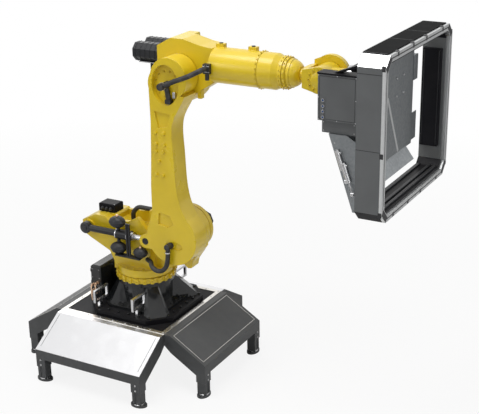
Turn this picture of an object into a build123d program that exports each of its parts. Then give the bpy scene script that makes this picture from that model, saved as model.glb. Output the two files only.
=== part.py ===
"""Six-axis industrial robot arm with a frame gripper, on a bolted platform with four sloped wings.

Frame: Z up, X forward along the arm, origin on the floor under the middle of the platform.
Lengths are in millimetres. The arm is drawn with its link upright and its forearm level.
"""

import os

from build123d import *

# Platform
DECK_X = 950.0
DECK_Y = 860.0
DECK_TOP = 450.0
DECK_PLATE = 12.0
DECK_BEAM = 78.0
STRIP_WIDTH = 34.0
STRIP_THICK = 3.0
WING_RUN = 350.0
WING_FLAT = 52.0
WING_DROP = 184.0
WING_SHEET = 3.0
SIDE_PLATE = 6.0
SIDE_DEPTH = 92.0
EDGE_BEAM = 40.0
EDGE_BEAM_DEPTH = 78.0
LEG_OUTER = 80.0
LEG_WALL = 5.0
LEG_CLEAR = 118.0
LEG_SLIDE = 60.0
LEG_SOCKET = 90.0
LEG_SLOT = 26.0
LEG_CORE = 40.0
FOOT_LENGTH = 132.0
FOOT_WIDTH = 92.0
FOOT_THICK = 14.0
ANCHOR_R = 7.0
ANCHOR_OFFSET = 50.0

# Cast base
AXIS1_X = 50.0
FOOTPLATE = 750.0
FOOTPLATE_CHAMFER = 150.0
FOOTPLATE_THICK = 40.0
BASE_FLANGE = 570.0
BASE_FLANGE_CHAMFER = 110.0
BASE_FLANGE_THICK = 24.0
BASE_HEIGHT = 250.0
BARREL_R = 205.0
COLLAR_R = 222.0
COLLAR_THICK = 30.0
RING_THICK = 40.0
RING_R = 220.0
RING_BOSSES = 24
RING_BOSS = 26.0
TURN_GAP = 5.0
HOUSING_REAR_X = -340.0
HOUSING_DEPTH = 95.0
HOUSING_WIDTH = 400.0
HOUSING_HEIGHT = 280.0
FORK_INNER = 214.0
FORK_WIDTH = 174.0
FORK_HEIGHT = 102.0
FORK_RISE = 58.0
FORK_RIM = 17.0
FORK_DEPTH = 20.0
FORK_FRONT_X = 160.0
FORK_REAR_X = -190.0
FORK_FOOT = 40.0
FORK_FOOT_Y = 315.0

# Arm axes
AXIS2_X = 445.0
AXIS2_RISE = 400.0
LINK_LENGTH = 1165.0
AXIS3_X = 442.0
AXIS4_OFFSET = 130.0
WRIST_REACH = 1138.0
FLANGE_REACH = 175.0

# Column and its fittings
COLUMN_NEAR_Y = -142.0
COLUMN_FAR_Y = 130.0
INNER_Y = -64.0
COLUMN_FOOT_R = 216.0
COLUMN_FOOT_THICK = 60.0
TROUGH_NEAR_Y = -104.0
TROUGH_FAR_Y = 100.0
GEAR_R = 178.0
GEAR_NEAR_Y = 40.0
GEAR_FAR_Y = 84.0
GEAR_HUB_R = 130.0
GEAR_HUB_FAR_Y = 150.0
MOTOR2_R = 80.0
MOTOR2_LENGTH = 112.0
JUNCTION_LENGTH = 150.0
JUNCTION_WIDTH = 114.0
JUNCTION_HEIGHT = 66.0

# Link arm
LINK_FACE_Y = -230.0
LINK_BACK_Y = -70.0
LINK_FOOT_R = 212.0
LINK_HEAD_R = 142.0
LINK_CROWN_R = 150.0
RECESS_HALF_X = 110.0
RECESS_HALF_Z = 146.0
RECESS_DEPTH = 36.0
POCKET_DEPTH = 12.0
BOSS_R = 14.0
BOSS_RISE = 13.0
EAR_X = 212.0
EAR_R = 54.0
EAR_INNER_Y = -150.0
EAR_SLOT = 52.0

# Counterbalance
BALANCE_Y = -190.0
BALANCE_REAR_X = -362.0
BALANCE_DROP = 65.0
CYLINDER_R = 38.0
BARREL_THIN_R = 26.0
PIN_R = 17.0
PIN_CLEAR = 1.0
ROD_EYE = 30.0

# Hoses
HOSE_R = 18.0

# Forearm and wrist
HUB_R = 175.0
HUB_FAR_Y = 130.0
REAR_BOX_FAR_Y = 206.0
TUBE_R = 127.0
TUBE_START_X = 735.0
TUBE_TAPER_X = 1221.0
TUBE_END_X = 1294.0
NECK_R = 42.0
YOKE_NEAR_Y = -118.0
YOKE_FAR_Y = 118.0
YOKE_CHEEK = 38.0
YOKE_NEAR_R = 92.0
YOKE_FAR_R = 135.0
PITCH_R = 88.0
WRIST_GAP = 5.0
FLANGE_R = 98.0
FLANGE_THICK = 60.0

# Gripper
GRIP_BACK_X = 2060.0
GRIP_DEPTH = 185.0
GRIP_RIM = 20.0
GRIP_HALF_Y = 600.0
GRIP_HEIGHT = 1070.0
GRIP_ABOVE = 320.0
GRIP_CHAMFER = 70.0
GRIP_WALL = 62.0
GALV_SHEET = 6.0

# Heights and planes that follow from the sizes above
BASE_Z = DECK_TOP + FOOTPLATE_THICK
RING_Z = BASE_Z + BASE_HEIGHT - RING_THICK
COLUMN_Z = BASE_Z + BASE_HEIGHT + TURN_GAP
AXIS2_Z = COLUMN_Z + AXIS2_RISE
AXIS3_Z = AXIS2_Z + LINK_LENGTH
AXIS4_Z = AXIS3_Z + AXIS4_OFFSET
AXIS5_X = AXIS3_X + WRIST_REACH
FLANGE_X = AXIS5_X + FLANGE_REACH
BALANCE_Z = AXIS2_Z - BALANCE_DROP
WING_EDGE_TOP = DECK_TOP - WING_DROP
SLOPE = WING_DROP / (WING_RUN - WING_FLAT)
GRIP_TOP = AXIS4_Z + GRIP_ABOVE
GRIP_MIDDLE = GRIP_TOP - GRIP_HEIGHT / 2

os.makedirs("parts", exist_ok=True)

UP = Vector(0, 0, 1)
STAND = (Align.CENTER, Align.CENTER, Align.MIN)
WINGS = {
    "front": (Vector(0, -1, 0), DECK_Y / 2, DECK_X),
    "right": (Vector(1, 0, 0), DECK_X / 2, DECK_Y),
    "back": (Vector(0, 1, 0), DECK_Y / 2, DECK_X),
    "left": (Vector(-1, 0, 0), DECK_X / 2, DECK_Y),
}


def save(piece, name):
    """Label a finished piece and write it under its node name."""
    piece.part.label = name
    export_step(piece.part, f"parts/{name}.step")


def side_view(y):
    """Plane of the arm's side view at a given y, with x forward and z up."""
    return Plane(origin=(0, y, 0), x_dir=(1, 0, 0), z_dir=(0, -1, 0))


def facing(x):
    """Plane across the arm at a given x, with y to the left and z up."""
    return Plane(origin=(x, 0, 0), x_dir=(0, 1, 0), z_dir=(1, 0, 0))


def about(x, z, points):
    """Move points that are given from an axis to the place of that axis."""
    return [(x + dx, z + dz) for dx, dz in points]


# Platform deck
with BuildPart() as deck:
    with BuildSketch(Plane.XY.offset(DECK_TOP - DECK_PLATE)):
        Rectangle(DECK_X, DECK_Y)
    extrude(amount=DECK_PLATE)
    with BuildSketch(Plane.XY.offset(DECK_TOP - DECK_PLATE - DECK_BEAM)):
        Rectangle(DECK_X, DECK_Y)
        Rectangle(DECK_X - 2 * LEG_OUTER, DECK_Y - 2 * LEG_OUTER, mode=Mode.SUBTRACT)
        Rectangle(LEG_OUTER, DECK_Y)
        Rectangle(DECK_X, LEG_OUTER)
    extrude(amount=DECK_BEAM)
save(deck, "deck")

# Bright strips along the four deck edges
with BuildPart() as deck_strips:
    with BuildSketch(Plane.XY.offset(DECK_TOP)):
        Rectangle(DECK_X, DECK_Y)
        Rectangle(DECK_X - 2 * STRIP_WIDTH, DECK_Y - 2 * STRIP_WIDTH, mode=Mode.SUBTRACT)
    extrude(amount=STRIP_THICK)
save(deck_strips, "deck_strips")

# Wings: a bent sheet between two side plates, an edge beam and two telescoping legs
for side, (out, reach, width) in WINGS.items():
    along = out.cross(UP)
    root = out * reach
    profile = Plane(origin=root, x_dir=out, z_dir=along)
    ground = Plane(origin=root, x_dir=along, z_dir=UP)
    leg_x = width / 2 - LEG_OUTER / 2
    leg_y = WING_RUN - LEG_OUTER / 2
    leg_places = [(-leg_x, leg_y), (leg_x, leg_y)]
    leg_inner = LEG_OUTER - 2 * LEG_WALL

    with BuildPart() as frame:
        for end in (-1, 1):
            with BuildSketch(profile.offset(end * (width - SIDE_PLATE) / 2)):
                with BuildLine():
                    Polyline(
                        (0, DECK_TOP - WING_SHEET),
                        (WING_FLAT, DECK_TOP - WING_SHEET),
                        (WING_RUN, WING_EDGE_TOP - WING_SHEET),
                        (WING_RUN, WING_EDGE_TOP - SIDE_DEPTH),
                        (WING_RUN - LEG_OUTER, WING_EDGE_TOP - SIDE_DEPTH),
                        (WING_FLAT, WING_EDGE_TOP - SIDE_DEPTH + SLOPE * (WING_RUN - WING_FLAT - LEG_OUTER)),
                        (0, DECK_TOP - SIDE_DEPTH),
                        close=True,
                    )
                make_face()
            extrude(amount=SIDE_PLATE / 2, both=True)
        with BuildSketch(profile):
            with BuildLine():
                Polyline(
                    (WING_RUN - EDGE_BEAM, WING_EDGE_TOP - WING_SHEET + EDGE_BEAM * SLOPE),
                    (WING_RUN, WING_EDGE_TOP - WING_SHEET),
                    (WING_RUN, WING_EDGE_TOP - EDGE_BEAM_DEPTH),
                    (WING_RUN - EDGE_BEAM, WING_EDGE_TOP - EDGE_BEAM_DEPTH),
                    close=True,
                )
            make_face()
        extrude(amount=width / 2 - SIDE_PLATE, both=True)
        with BuildSketch(ground.offset(LEG_CLEAR)):
            with Locations(*leg_places):
                Rectangle(LEG_OUTER, LEG_OUTER)
        extrude(amount=WING_EDGE_TOP - WING_SHEET - LEG_CLEAR)
        with BuildSketch(ground.offset(LEG_CLEAR)):
            with Locations(*leg_places):
                Rectangle(leg_inner, leg_inner)
        extrude(amount=LEG_SOCKET, mode=Mode.SUBTRACT)
    save(frame, f"wing_frame_{side}")

    with BuildPart() as panel:
        with BuildSketch(profile):
            with BuildLine():
                Polyline(
                    (0, DECK_TOP - WING_SHEET),
                    (WING_FLAT, DECK_TOP - WING_SHEET),
                    (WING_RUN, WING_EDGE_TOP - WING_SHEET),
                    (WING_RUN, WING_EDGE_TOP),
                    (WING_FLAT, DECK_TOP),
                    (0, DECK_TOP),
                    close=True,
                )
            make_face()
        extrude(amount=width / 2, both=True)
    save(panel, f"wing_panel_{side}")

    with BuildPart() as feet:
        with BuildSketch(ground):
            with Locations(*leg_places):
                Ellipse(FOOT_LENGTH / 2, FOOT_WIDTH / 2)
            for shift in (-ANCHOR_OFFSET, ANCHOR_OFFSET):
                with Locations(*[(x + shift, y) for x, y in leg_places]):
                    Circle(ANCHOR_R, mode=Mode.SUBTRACT)
        extrude(amount=FOOT_THICK)
        with BuildSketch(ground.offset(FOOT_THICK)):
            with Locations(*leg_places):
                Rectangle(leg_inner, leg_inner)
                Rectangle(LEG_SLOT, LEG_OUTER, mode=Mode.SUBTRACT)
                Rectangle(LEG_CORE, leg_inner - 2 * LEG_WALL)
        extrude(amount=LEG_CLEAR + LEG_SLIDE - FOOT_THICK)
    save(feet, f"feet_{side}")

# Base: chamfered footplate, casting with four buttresses, bearing ring and rear connection housing
with BuildPart() as footplate:
    with BuildSketch(Plane.XY.offset(DECK_TOP)):
        with Locations((AXIS1_X, 0)):
            outline = Rectangle(FOOTPLATE, FOOTPLATE)
        chamfer(outline.vertices(), FOOTPLATE_CHAMFER)
    extrude(amount=FOOTPLATE_THICK)
save(footplate, "base_footplate")

BUTTRESS_TOP = [(100, -50), (205, -50), (222, -40), (222, 40), (205, 50), (100, 50)]
BUTTRESS_FRONT = [(100, -100), (335, -100), (398, -75), (398, 75), (335, 100), (100, 100)]
BUTTRESS_REAR = [(100, -100), (262, -100), (320, -75), (320, 75), (262, 100), (100, 100)]
with BuildPart() as base:
    with BuildSketch(Plane.XY.offset(BASE_Z)):
        with Locations((AXIS1_X, 0)):
            outline = Rectangle(BASE_FLANGE, BASE_FLANGE)
        chamfer(outline.vertices(), BASE_FLANGE_CHAMFER)
    extrude(amount=BASE_FLANGE_THICK)
    with BuildSketch(Plane.XY.offset(BASE_Z)):
        with Locations((AXIS1_X, 0)):
            RegularPolygon(radius=BARREL_R, side_count=32)
    extrude(amount=RING_Z - BASE_Z)
    for turn, outline in ((45, BUTTRESS_FRONT), (-45, BUTTRESS_FRONT), (135, BUTTRESS_REAR), (-135, BUTTRESS_REAR)):
        for level, corners in ((BASE_Z, outline), (RING_Z - COLLAR_THICK, BUTTRESS_TOP)):
            with BuildSketch(Plane(origin=(AXIS1_X, 0, level), x_dir=Vector(1, 0, 0).rotate(Axis.Z, turn), z_dir=UP)):
                with BuildLine():
                    Polyline(*corners, close=True)
                make_face()
        loft()
    with Locations([
        (FORK_FRONT_X + FORK_DEPTH / 2, sign * (FORK_INNER + FORK_WIDTH / 2), BASE_Z + FORK_RISE) for sign in (-1, 1)
    ]):
        Box(FORK_DEPTH, FORK_WIDTH, FORK_HEIGHT, align=STAND, mode=Mode.SUBTRACT)
    with BuildSketch(Plane.XY.offset(RING_Z - COLLAR_THICK)):
        with Locations((AXIS1_X, 0)):
            Circle(COLLAR_R)
    extrude(amount=COLLAR_THICK)
save(base, "base_casting")

with BuildPart() as connections:
    with Locations((HOUSING_REAR_X + HOUSING_DEPTH / 2, 0, BASE_Z)):
        Box(HOUSING_DEPTH, HOUSING_WIDTH, HOUSING_HEIGHT, align=STAND)
    chamfer(connections.edges().group_by(Axis.Z)[-1], 12)
save(connections, "base_connections")

with BuildPart() as ring:
    with BuildSketch(Plane.XY.offset(RING_Z)):
        with Locations((AXIS1_X, 0)):
            Circle(RING_R)
            with PolarLocations(RING_R, RING_BOSSES):
                Rectangle(RING_BOSS, RING_BOSS)
    extrude(amount=RING_THICK)
save(ring, "bearing_ring")

# Bright rings for the forks of a lift truck, two on each side of the base
for name, sign in (("fork_rings_near", -1), ("fork_rings_far", 1)):
    with BuildPart() as rings:
        for start in (FORK_REAR_X, FORK_FRONT_X):
            with BuildSketch(facing(start)):
                with Locations((sign * (FORK_INNER + FORK_WIDTH / 2), BASE_Z + FORK_RISE + FORK_HEIGHT / 2)):
                    Rectangle(FORK_WIDTH, FORK_HEIGHT)
                    Rectangle(FORK_WIDTH - 2 * FORK_RIM, FORK_HEIGHT - 2 * FORK_RIM, mode=Mode.SUBTRACT)
                with Locations((sign * FORK_FOOT_Y, BASE_Z + FORK_RISE / 2)):
                    Rectangle(FORK_FOOT, FORK_RISE)
            extrude(amount=FORK_DEPTH)
    save(rings, name)

# Column, which turns on the ring and carries the arm on its near side
BODY_REAR = [(-430, -27), (-430, -125), (-366, -163), (-185, -247), (-135, COLUMN_Z + 50 - AXIS2_Z)]
BODY_NEAR_TOP = [(190, -37), (88, 71), (58, 56), (0, 25), (-187, 8), (-215, 35), (-305, 35)]
BODY_FAR_TOP = [(190, 70), (100, 43), (-160, 21), (-172, 35), (-305, 35)]
BLOCK = [
    (150, COLUMN_Z + 50 - AXIS2_Z), (262, COLUMN_Z + 50 - AXIS2_Z), (340, -312), (445, -272), (478, -298),
    (508, -292), (520, -240), (600, -120), (600, 60), (445, 170), (330, 165), (150, 117),
]
TROUGH = [(-160, 160), (-160, -20), (-120, -55), (110, -55), (150, -20), (150, 160)]
with BuildPart() as column:
    with BuildSketch(Plane.XY.offset(COLUMN_Z)):
        with Locations((AXIS1_X, 0)):
            Circle(COLUMN_FOOT_R)
            with PolarLocations(COLUMN_FOOT_R, 2, start_angle=25):
                Rectangle(60, 30)
    extrude(amount=COLUMN_FOOT_THICK)
    for near, far, top in ((COLUMN_NEAR_Y, INNER_Y, BODY_NEAR_TOP), (INNER_Y, COLUMN_FAR_Y, BODY_FAR_TOP)):
        with BuildSketch(side_view(near)):
            with BuildLine():
                Polyline(*about(0, AXIS2_Z, [(190, COLUMN_Z + 50 - AXIS2_Z)] + top + BODY_REAR), close=True)
            make_face()
        extrude(amount=near - far)
    with BuildSketch(side_view(INNER_Y)):
        with BuildLine():
            Polyline(*about(0, AXIS2_Z, BLOCK), close=True)
        make_face()
        with Locations((AXIS2_X, AXIS2_Z)):
            Circle(GEAR_R)
    extrude(amount=INNER_Y - GEAR_NEAR_Y)
    with BuildSketch(side_view(TROUGH_NEAR_Y)):
        with BuildLine():
            Polyline(*about(0, AXIS2_Z, TROUGH), close=True)
        make_face()
    extrude(amount=TROUGH_NEAR_Y - TROUGH_FAR_Y, mode=Mode.SUBTRACT)
save(column, "column_casting")

GROOVE_DEPTH = 10.0
GROOVE_WIDTH = 8.0
with BuildPart() as gear:
    with BuildSketch(side_view(GEAR_NEAR_Y)):
        with Locations((AXIS2_X, AXIS2_Z)):
            Circle(GEAR_R - GROOVE_DEPTH)
    extrude(amount=-GROOVE_WIDTH)
    with BuildSketch(side_view(GEAR_NEAR_Y + GROOVE_WIDTH)):
        with Locations((AXIS2_X, AXIS2_Z)):
            Circle(GEAR_R)
    extrude(amount=GEAR_NEAR_Y + GROOVE_WIDTH - GEAR_FAR_Y)
    with BuildSketch(side_view(GEAR_FAR_Y)):
        with Locations((AXIS2_X, AXIS2_Z)):
            Circle(GEAR_HUB_R)
    extrude(amount=GEAR_FAR_Y - GEAR_HUB_FAR_Y)
save(gear, "axis2_gear")

with BuildPart() as motor2:
    with BuildSketch(side_view(GEAR_HUB_FAR_Y)):
        with Locations((AXIS2_X, AXIS2_Z - 15)):
            RegularPolygon(radius=MOTOR2_R, side_count=8)
    extrude(amount=-MOTOR2_LENGTH)
    chamfer(motor2.faces().sort_by(Axis.Y)[-1].edges(), 8)
save(motor2, "axis2_motor")

with BuildPart() as junction:
    with Locations((-252, 0, AXIS2_Z + 35)):
        Box(JUNCTION_LENGTH, JUNCTION_WIDTH, JUNCTION_HEIGHT, align=STAND)
    chamfer(junction.edges().group_by(Axis.Z)[-1], 6)
save(junction, "junction_box")

with BuildPart() as trough_hose:
    with BuildLine() as route:
        FilletPolyline(
            (-60, 20, AXIS2_Z - 55),
            (-60, 20, AXIS2_Z + 40),
            (-10, 20, AXIS2_Z + 92),
            (150, 20, AXIS2_Z + 92),
            radius=70,
        )
    with BuildSketch(Plane(origin=route.line @ 0, z_dir=route.line % 0)):
        Circle(HOSE_R)
    sweep()
save(trough_hose, "hose_trough")

REAR_DISC_R = 46.0
REAR_DISC_THICK = 12.0
REAR_PIN_LENGTH = 76.0
with BuildPart() as rear_pivot:
    with BuildSketch(side_view(COLUMN_NEAR_Y)):
        with Locations((BALANCE_REAR_X, BALANCE_Z)):
            Circle(REAR_DISC_R)
    extrude(amount=REAR_DISC_THICK)
    with BuildSketch(side_view(COLUMN_NEAR_Y)):
        with Locations((BALANCE_REAR_X, BALANCE_Z)):
            Circle(PIN_R)
    extrude(amount=REAR_PIN_LENGTH)
save(rear_pivot, "rear_pivot")

# Counterbalance cylinder with its rod, hung on the rear pivot
EYE_R = 46.0
EYE_THICK = 36.0
BARREL_START = 42.0
BARREL_THIN_LENGTH = 243.0
BARREL_LENGTH = 135.0
GLAND_LENGTH = 24.0
ROD_R = 20.0
ROD_EYE_R = 28.0
BARREL_X = BALANCE_REAR_X + BARREL_START + BARREL_THIN_LENGTH
GLAND_X = BARREL_X + BARREL_LENGTH
with BuildPart() as cylinder:
    with BuildSketch(side_view(BALANCE_Y + EYE_THICK / 2)):
        with Locations((BALANCE_REAR_X, BALANCE_Z)):
            Circle(EYE_R)
            Circle(PIN_R + PIN_CLEAR, mode=Mode.SUBTRACT)
    extrude(amount=EYE_THICK)
    with BuildSketch(facing(BALANCE_REAR_X + BARREL_START)):
        with Locations((BALANCE_Y, BALANCE_Z)):
            Circle(BARREL_THIN_R)
    extrude(amount=BARREL_THIN_LENGTH)
    with BuildSketch(facing(BARREL_X)):
        with Locations((BALANCE_Y, BALANCE_Z)):
            Circle(CYLINDER_R)
    extrude(amount=BARREL_LENGTH)
save(cylinder, "balance_cylinder")

with BuildPart() as rod:
    with BuildSketch(facing(GLAND_X)):
        with Locations((BALANCE_Y, BALANCE_Z)):
            Circle(CYLINDER_R - 6)
    extrude(amount=GLAND_LENGTH)
    with BuildSketch(facing(GLAND_X + GLAND_LENGTH)):
        with Locations((BALANCE_Y, BALANCE_Z)):
            Circle(ROD_R)
    extrude(amount=EAR_X - GLAND_X - GLAND_LENGTH - ROD_EYE_R + 4)
    with BuildSketch(side_view(BALANCE_Y + ROD_EYE / 2)):
        with Locations((EAR_X, BALANCE_Z)):
            Circle(ROD_EYE_R)
            Circle(PIN_R + PIN_CLEAR, mode=Mode.SUBTRACT)
    extrude(amount=ROD_EYE)
save(rod, "balance_rod")

# Three black gas accumulators, and the stems, plate and pipes that join them to the cylinder
ACCUMULATOR_Y = -212.0
BALL_X = -50.0
SMALL_BALL_X = 150.0
BALL_RISE = 106.0
BALL_R = 52.0
BALL_HALF = 43.0
SMALL_BALL_R = 46.0
SMALL_BALL_HALF = 38.0
BALL_FLAT = 24.0
STEM_R = 14.0
PIPE_R = 9.0
PIPE_Y = -238.0
PIPE_LENGTH = 265.0
PLATE_THICK = 12.0
PLATE_TOP = BALANCE_Z - BALL_RISE - BALL_HALF
with BuildPart() as accumulators:
    for x, z, radius, half in (
        (BALL_X, BALANCE_Z + BALL_RISE, BALL_R, BALL_HALF),
        (BALL_X, BALANCE_Z - BALL_RISE, BALL_R, BALL_HALF),
        (SMALL_BALL_X, PLATE_TOP + SMALL_BALL_HALF, SMALL_BALL_R, SMALL_BALL_HALF),
    ):
        with BuildSketch(Plane(origin=(x, ACCUMULATOR_Y, z), x_dir=(1, 0, 0), z_dir=(0, -1, 0))):
            with BuildLine():
                Line((0, half), (0, -half))
                Line((0, -half), (BALL_FLAT, -half))
                ThreePointArc((BALL_FLAT, -half), (radius, 0), (BALL_FLAT, half))
                Line((BALL_FLAT, half), (0, half))
            make_face()
        revolve(axis=Axis((x, ACCUMULATOR_Y, z), (0, 0, -1)))
save(accumulators, "balance_accumulators")

with BuildPart() as pipes:
    for stem_z in (BALANCE_Z + CYLINDER_R, BALANCE_Z - BALL_RISE + BALL_HALF):
        with BuildSketch(Plane.XY.offset(stem_z)):
            with Locations((BALL_X, BALANCE_Y - STEM_R + 1)):
                Circle(STEM_R)
        extrude(amount=BALL_RISE - BALL_HALF - CYLINDER_R)
    with Locations(((BALL_X + SMALL_BALL_X) / 2, (PIPE_Y + ACCUMULATOR_Y) / 2, PLATE_TOP - PLATE_THICK)):
        Box(SMALL_BALL_X - BALL_X + BALL_FLAT, ACCUMULATOR_Y - PIPE_Y + BALL_FLAT, PLATE_THICK, align=STAND)
    with BuildSketch(Plane.XY.offset(PLATE_TOP)):
        with Locations((50, PIPE_Y), (72, PIPE_Y)):
            Circle(PIPE_R)
    extrude(amount=PIPE_LENGTH)
save(pipes, "balance_pipes")

# Link arm
LINK_LEFT_LOW = [(-190, 95), (-159, 192), (-158, 396)]
LINK_LEFT_HIGH = [(-142, -520), (-133, -278), (-138, -40)]
LINK_RIGHT_HIGH = [(158, -70), (106, -165), (58, -253), (47, -493)]
LINK_RIGHT_LOW = [(56, 430), (84, 275), (130, 175), (196, 80)]
POCKET_HIGH = [(-100, -199), (31, -213), (5, -305), (-72, -322)]
POCKET_LOW = [(-99, 186), (-3, 179), (20, 112), (-25, 80), (-112, 97)]
LINK_BOSSES = [
    (-95, -358), (-26, -358), (-95, -444), (-27, -444), (-98, -502), (-38, -502),
    (-76, -572), (-102, -678), (-47, -678),
]
CAVITY = (21, -60)
CAVITY_HALF_X = 72.0
CAVITY_HALF_Z = 30.0
SLOT_IN_R = 198.0
SLOT_OUT_R = 340.0
with BuildPart() as link:
    with BuildSketch(side_view(LINK_BACK_Y)):
        with Locations((AXIS2_X, AXIS2_Z)):
            Circle(LINK_FOOT_R)
        with Locations((AXIS3_X, AXIS3_Z)):
            Circle(LINK_HEAD_R)
        with Locations((AXIS3_X + 28, AXIS3_Z + 48)):
            Circle(LINK_CROWN_R)
        with BuildLine():
            left = Polyline(*about(AXIS2_X, AXIS2_Z, LINK_LEFT_LOW), *about(AXIS3_X, AXIS3_Z, LINK_LEFT_HIGH))
            right = Spline(*about(AXIS3_X, AXIS3_Z, LINK_RIGHT_HIGH), *about(AXIS2_X, AXIS2_Z, LINK_RIGHT_LOW))
            Line(left @ 1, right @ 0)
            Line(right @ 1, left @ 0)
        make_face()
    extrude(amount=LINK_BACK_Y - LINK_FACE_Y)
    with BuildSketch(side_view(LINK_FACE_Y)):
        with Locations((AXIS3_X, AXIS3_Z)):
            Ellipse(RECESS_HALF_X, RECESS_HALF_Z)
    extrude(amount=-RECESS_DEPTH, mode=Mode.SUBTRACT)
    with BuildSketch(side_view(LINK_FACE_Y)):
        with BuildLine():
            Polyline(*about(AXIS3_X, AXIS3_Z, POCKET_HIGH), close=True)
        make_face()
        with BuildLine():
            Polyline(*about(AXIS2_X, AXIS2_Z, POCKET_LOW), close=True)
        make_face()
        with Locations(*about(AXIS2_X, AXIS2_Z, [CAVITY])):
            Ellipse(CAVITY_HALF_X, CAVITY_HALF_Z)
    extrude(amount=-POCKET_DEPTH, mode=Mode.SUBTRACT)
    with BuildSketch(side_view(LINK_FACE_Y)):
        with Locations(*about(AXIS3_X, AXIS3_Z, LINK_BOSSES)):
            Circle(BOSS_R)
    extrude(amount=BOSS_RISE)
    with BuildSketch(side_view(EAR_INNER_Y)):
        with Locations((EAR_X, BALANCE_Z)):
            Circle(EAR_R)
        with BuildLine():
            Polyline(
                (EAR_X, BALANCE_Z + EAR_R),
                (300, BALANCE_Z + 110),
                (300, BALANCE_Z - EAR_R),
                (EAR_X, BALANCE_Z - EAR_R),
                close=True,
            )
        make_face()
    extrude(amount=EAR_INNER_Y - LINK_FACE_Y)
    with BuildSketch(side_view(BALANCE_Y + EAR_SLOT / 2)):
        with Locations((AXIS2_X, AXIS2_Z)):
            Circle(SLOT_OUT_R)
            Circle(SLOT_IN_R, mode=Mode.SUBTRACT)
            Rectangle(700, 700, align=(Align.MIN, Align.CENTER), mode=Mode.SUBTRACT)
        with Locations((AXIS2_X - 330, AXIS2_Z + 330)):
            Rectangle(400, 240, mode=Mode.SUBTRACT)
    extrude(amount=EAR_SLOT, mode=Mode.SUBTRACT)
save(link, "link_arm")

RISER_X = AXIS3_X + 20
RISER_BLOCK_Z = AXIS3_Z - 134
SWIVEL_Y = LINK_FACE_Y - 10
SWIVEL_R = HOSE_R + 8
SWIVEL_DEPTH = 58.0
GLAND_R = HOSE_R + 6
GLAND_DEPTH = 66.0
with BuildPart() as riser:
    with BuildSketch(side_view(LINK_FACE_Y + RECESS_DEPTH)):
        with Locations((AXIS3_X, AXIS3_Z)):
            Circle(GLAND_R)
    extrude(amount=LINK_FACE_Y + RECESS_DEPTH - SWIVEL_Y)
    with Locations((RISER_X, LINK_FACE_Y + RECESS_DEPTH - 20, RISER_BLOCK_Z)):
        Box(44, 40, 30, align=STAND)
    with BuildLine() as route:
        Line((AXIS3_X, LINK_FACE_Y + 16, AXIS3_Z - 10), (RISER_X, LINK_FACE_Y + 16, RISER_BLOCK_Z + 20))
    with BuildSketch(Plane(origin=route.line @ 0, z_dir=route.line % 0)):
        Circle(HOSE_R)
    sweep()
save(riser, "hose_riser")

with BuildPart() as foot_hose:
    with BuildSketch(side_view(LINK_FACE_Y + POCKET_DEPTH)):
        with Locations((AXIS2_X - 13, AXIS2_Z + CAVITY[1])):
            Circle(GLAND_R)
    extrude(amount=GLAND_DEPTH)
    with BuildLine() as route:
        FilletPolyline(
            (AXIS2_X - 13, LINK_FACE_Y - 32, AXIS2_Z - 66),
            (AXIS2_X - 15, LINK_FACE_Y - 32, AXIS2_Z - 190),
            (AXIS2_X - 60, LINK_FACE_Y - 32, AXIS2_Z - 262),
            (AXIS2_X - 125, LINK_FACE_Y - 28, AXIS2_Z - 268),
            (AXIS2_X - 183, LINK_FACE_Y - 10, AXIS2_Z - 225),
            (AXIS2_X - 223, COLUMN_NEAR_Y - 38, AXIS2_Z - 208),
            (AXIS2_X - 273, COLUMN_NEAR_Y - 16.6, AXIS2_Z - 218),
            radius=50,
        )
    with BuildSketch(Plane(origin=route.line @ 0, z_dir=route.line % 0)):
        Circle(HOSE_R)
    sweep()
save(foot_hose, "hose_foot")

# Forearm: housing behind the elbow, tube, motors, connector and hose
REAR_BOX = [(266.5, 2285), (266.5, 2548), (395, 2612), (480, 2612), (520, 2400), (520, 2285)]
MOTORS = [(280, 9, 36, 72, 218), (266, 140, 55, 62, 192), (266, 140, -95, 54, 150)]
HOUSING = [(280, 2425), (280, 2548), (395, 2612), (500, 2612), (640, 2578), (735, 2566), (735, 2314), (600, 2230)]
with BuildPart() as housing:
    with BuildSketch(side_view(INNER_Y)):
        with BuildLine():
            Polyline(*about(AXIS3_X - 442, AXIS4_Z - 2440, HOUSING), close=True)
        make_face()
        with Locations((AXIS3_X, AXIS3_Z)):
            Circle(HUB_R)
    extrude(amount=INNER_Y - HUB_FAR_Y)
    with BuildSketch(side_view(HUB_FAR_Y)):
        with BuildLine():
            Polyline(*about(AXIS3_X - 442, AXIS4_Z - 2440, REAR_BOX), close=True)
        make_face()
    extrude(amount=HUB_FAR_Y - REAR_BOX_FAR_Y)
    with Locations((AXIS3_X + 8, 15, AXIS4_Z + 100)):
        Box(84, 60, 56, align=STAND)
    with Locations((AXIS3_X + 180, -40, AXIS3_Z - 118)):
        Box(30, 40, 60, align=STAND)
save(housing, "forearm_housing")

with BuildPart() as tube:
    for start, length, radius in (
        (TUBE_START_X, TUBE_TAPER_X - TUBE_START_X, TUBE_R),
        (TUBE_TAPER_X - 120, 14, TUBE_R + 4),
        (TUBE_END_X - 28, 28, TUBE_R - 14),
    ):
        with BuildSketch(facing(start)):
            with Locations((0, AXIS4_Z)):
                Circle(radius)
        extrude(amount=length)
    for start, radius in ((TUBE_TAPER_X, TUBE_R), (TUBE_END_X - 28, TUBE_R - 20)):
        with BuildSketch(facing(start)):
            with Locations((0, AXIS4_Z)):
                Circle(radius)
    loft()
    with Locations((TUBE_START_X + 33, 15, AXIS4_Z + 80), (TUBE_START_X + 290, 15, AXIS4_Z + 80)):
        Box(64, 40, 72, align=STAND)
save(tube, "forearm_tube")

with BuildPart() as motors:
    for start, y, z, radius, length in MOTORS:
        with BuildSketch(facing(start)):
            with Locations((y, AXIS4_Z + z)):
                RegularPolygon(radius=radius, side_count=8, rotation=22.5)
        extrude(amount=-length)
save(motors, "forearm_motors")

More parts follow.
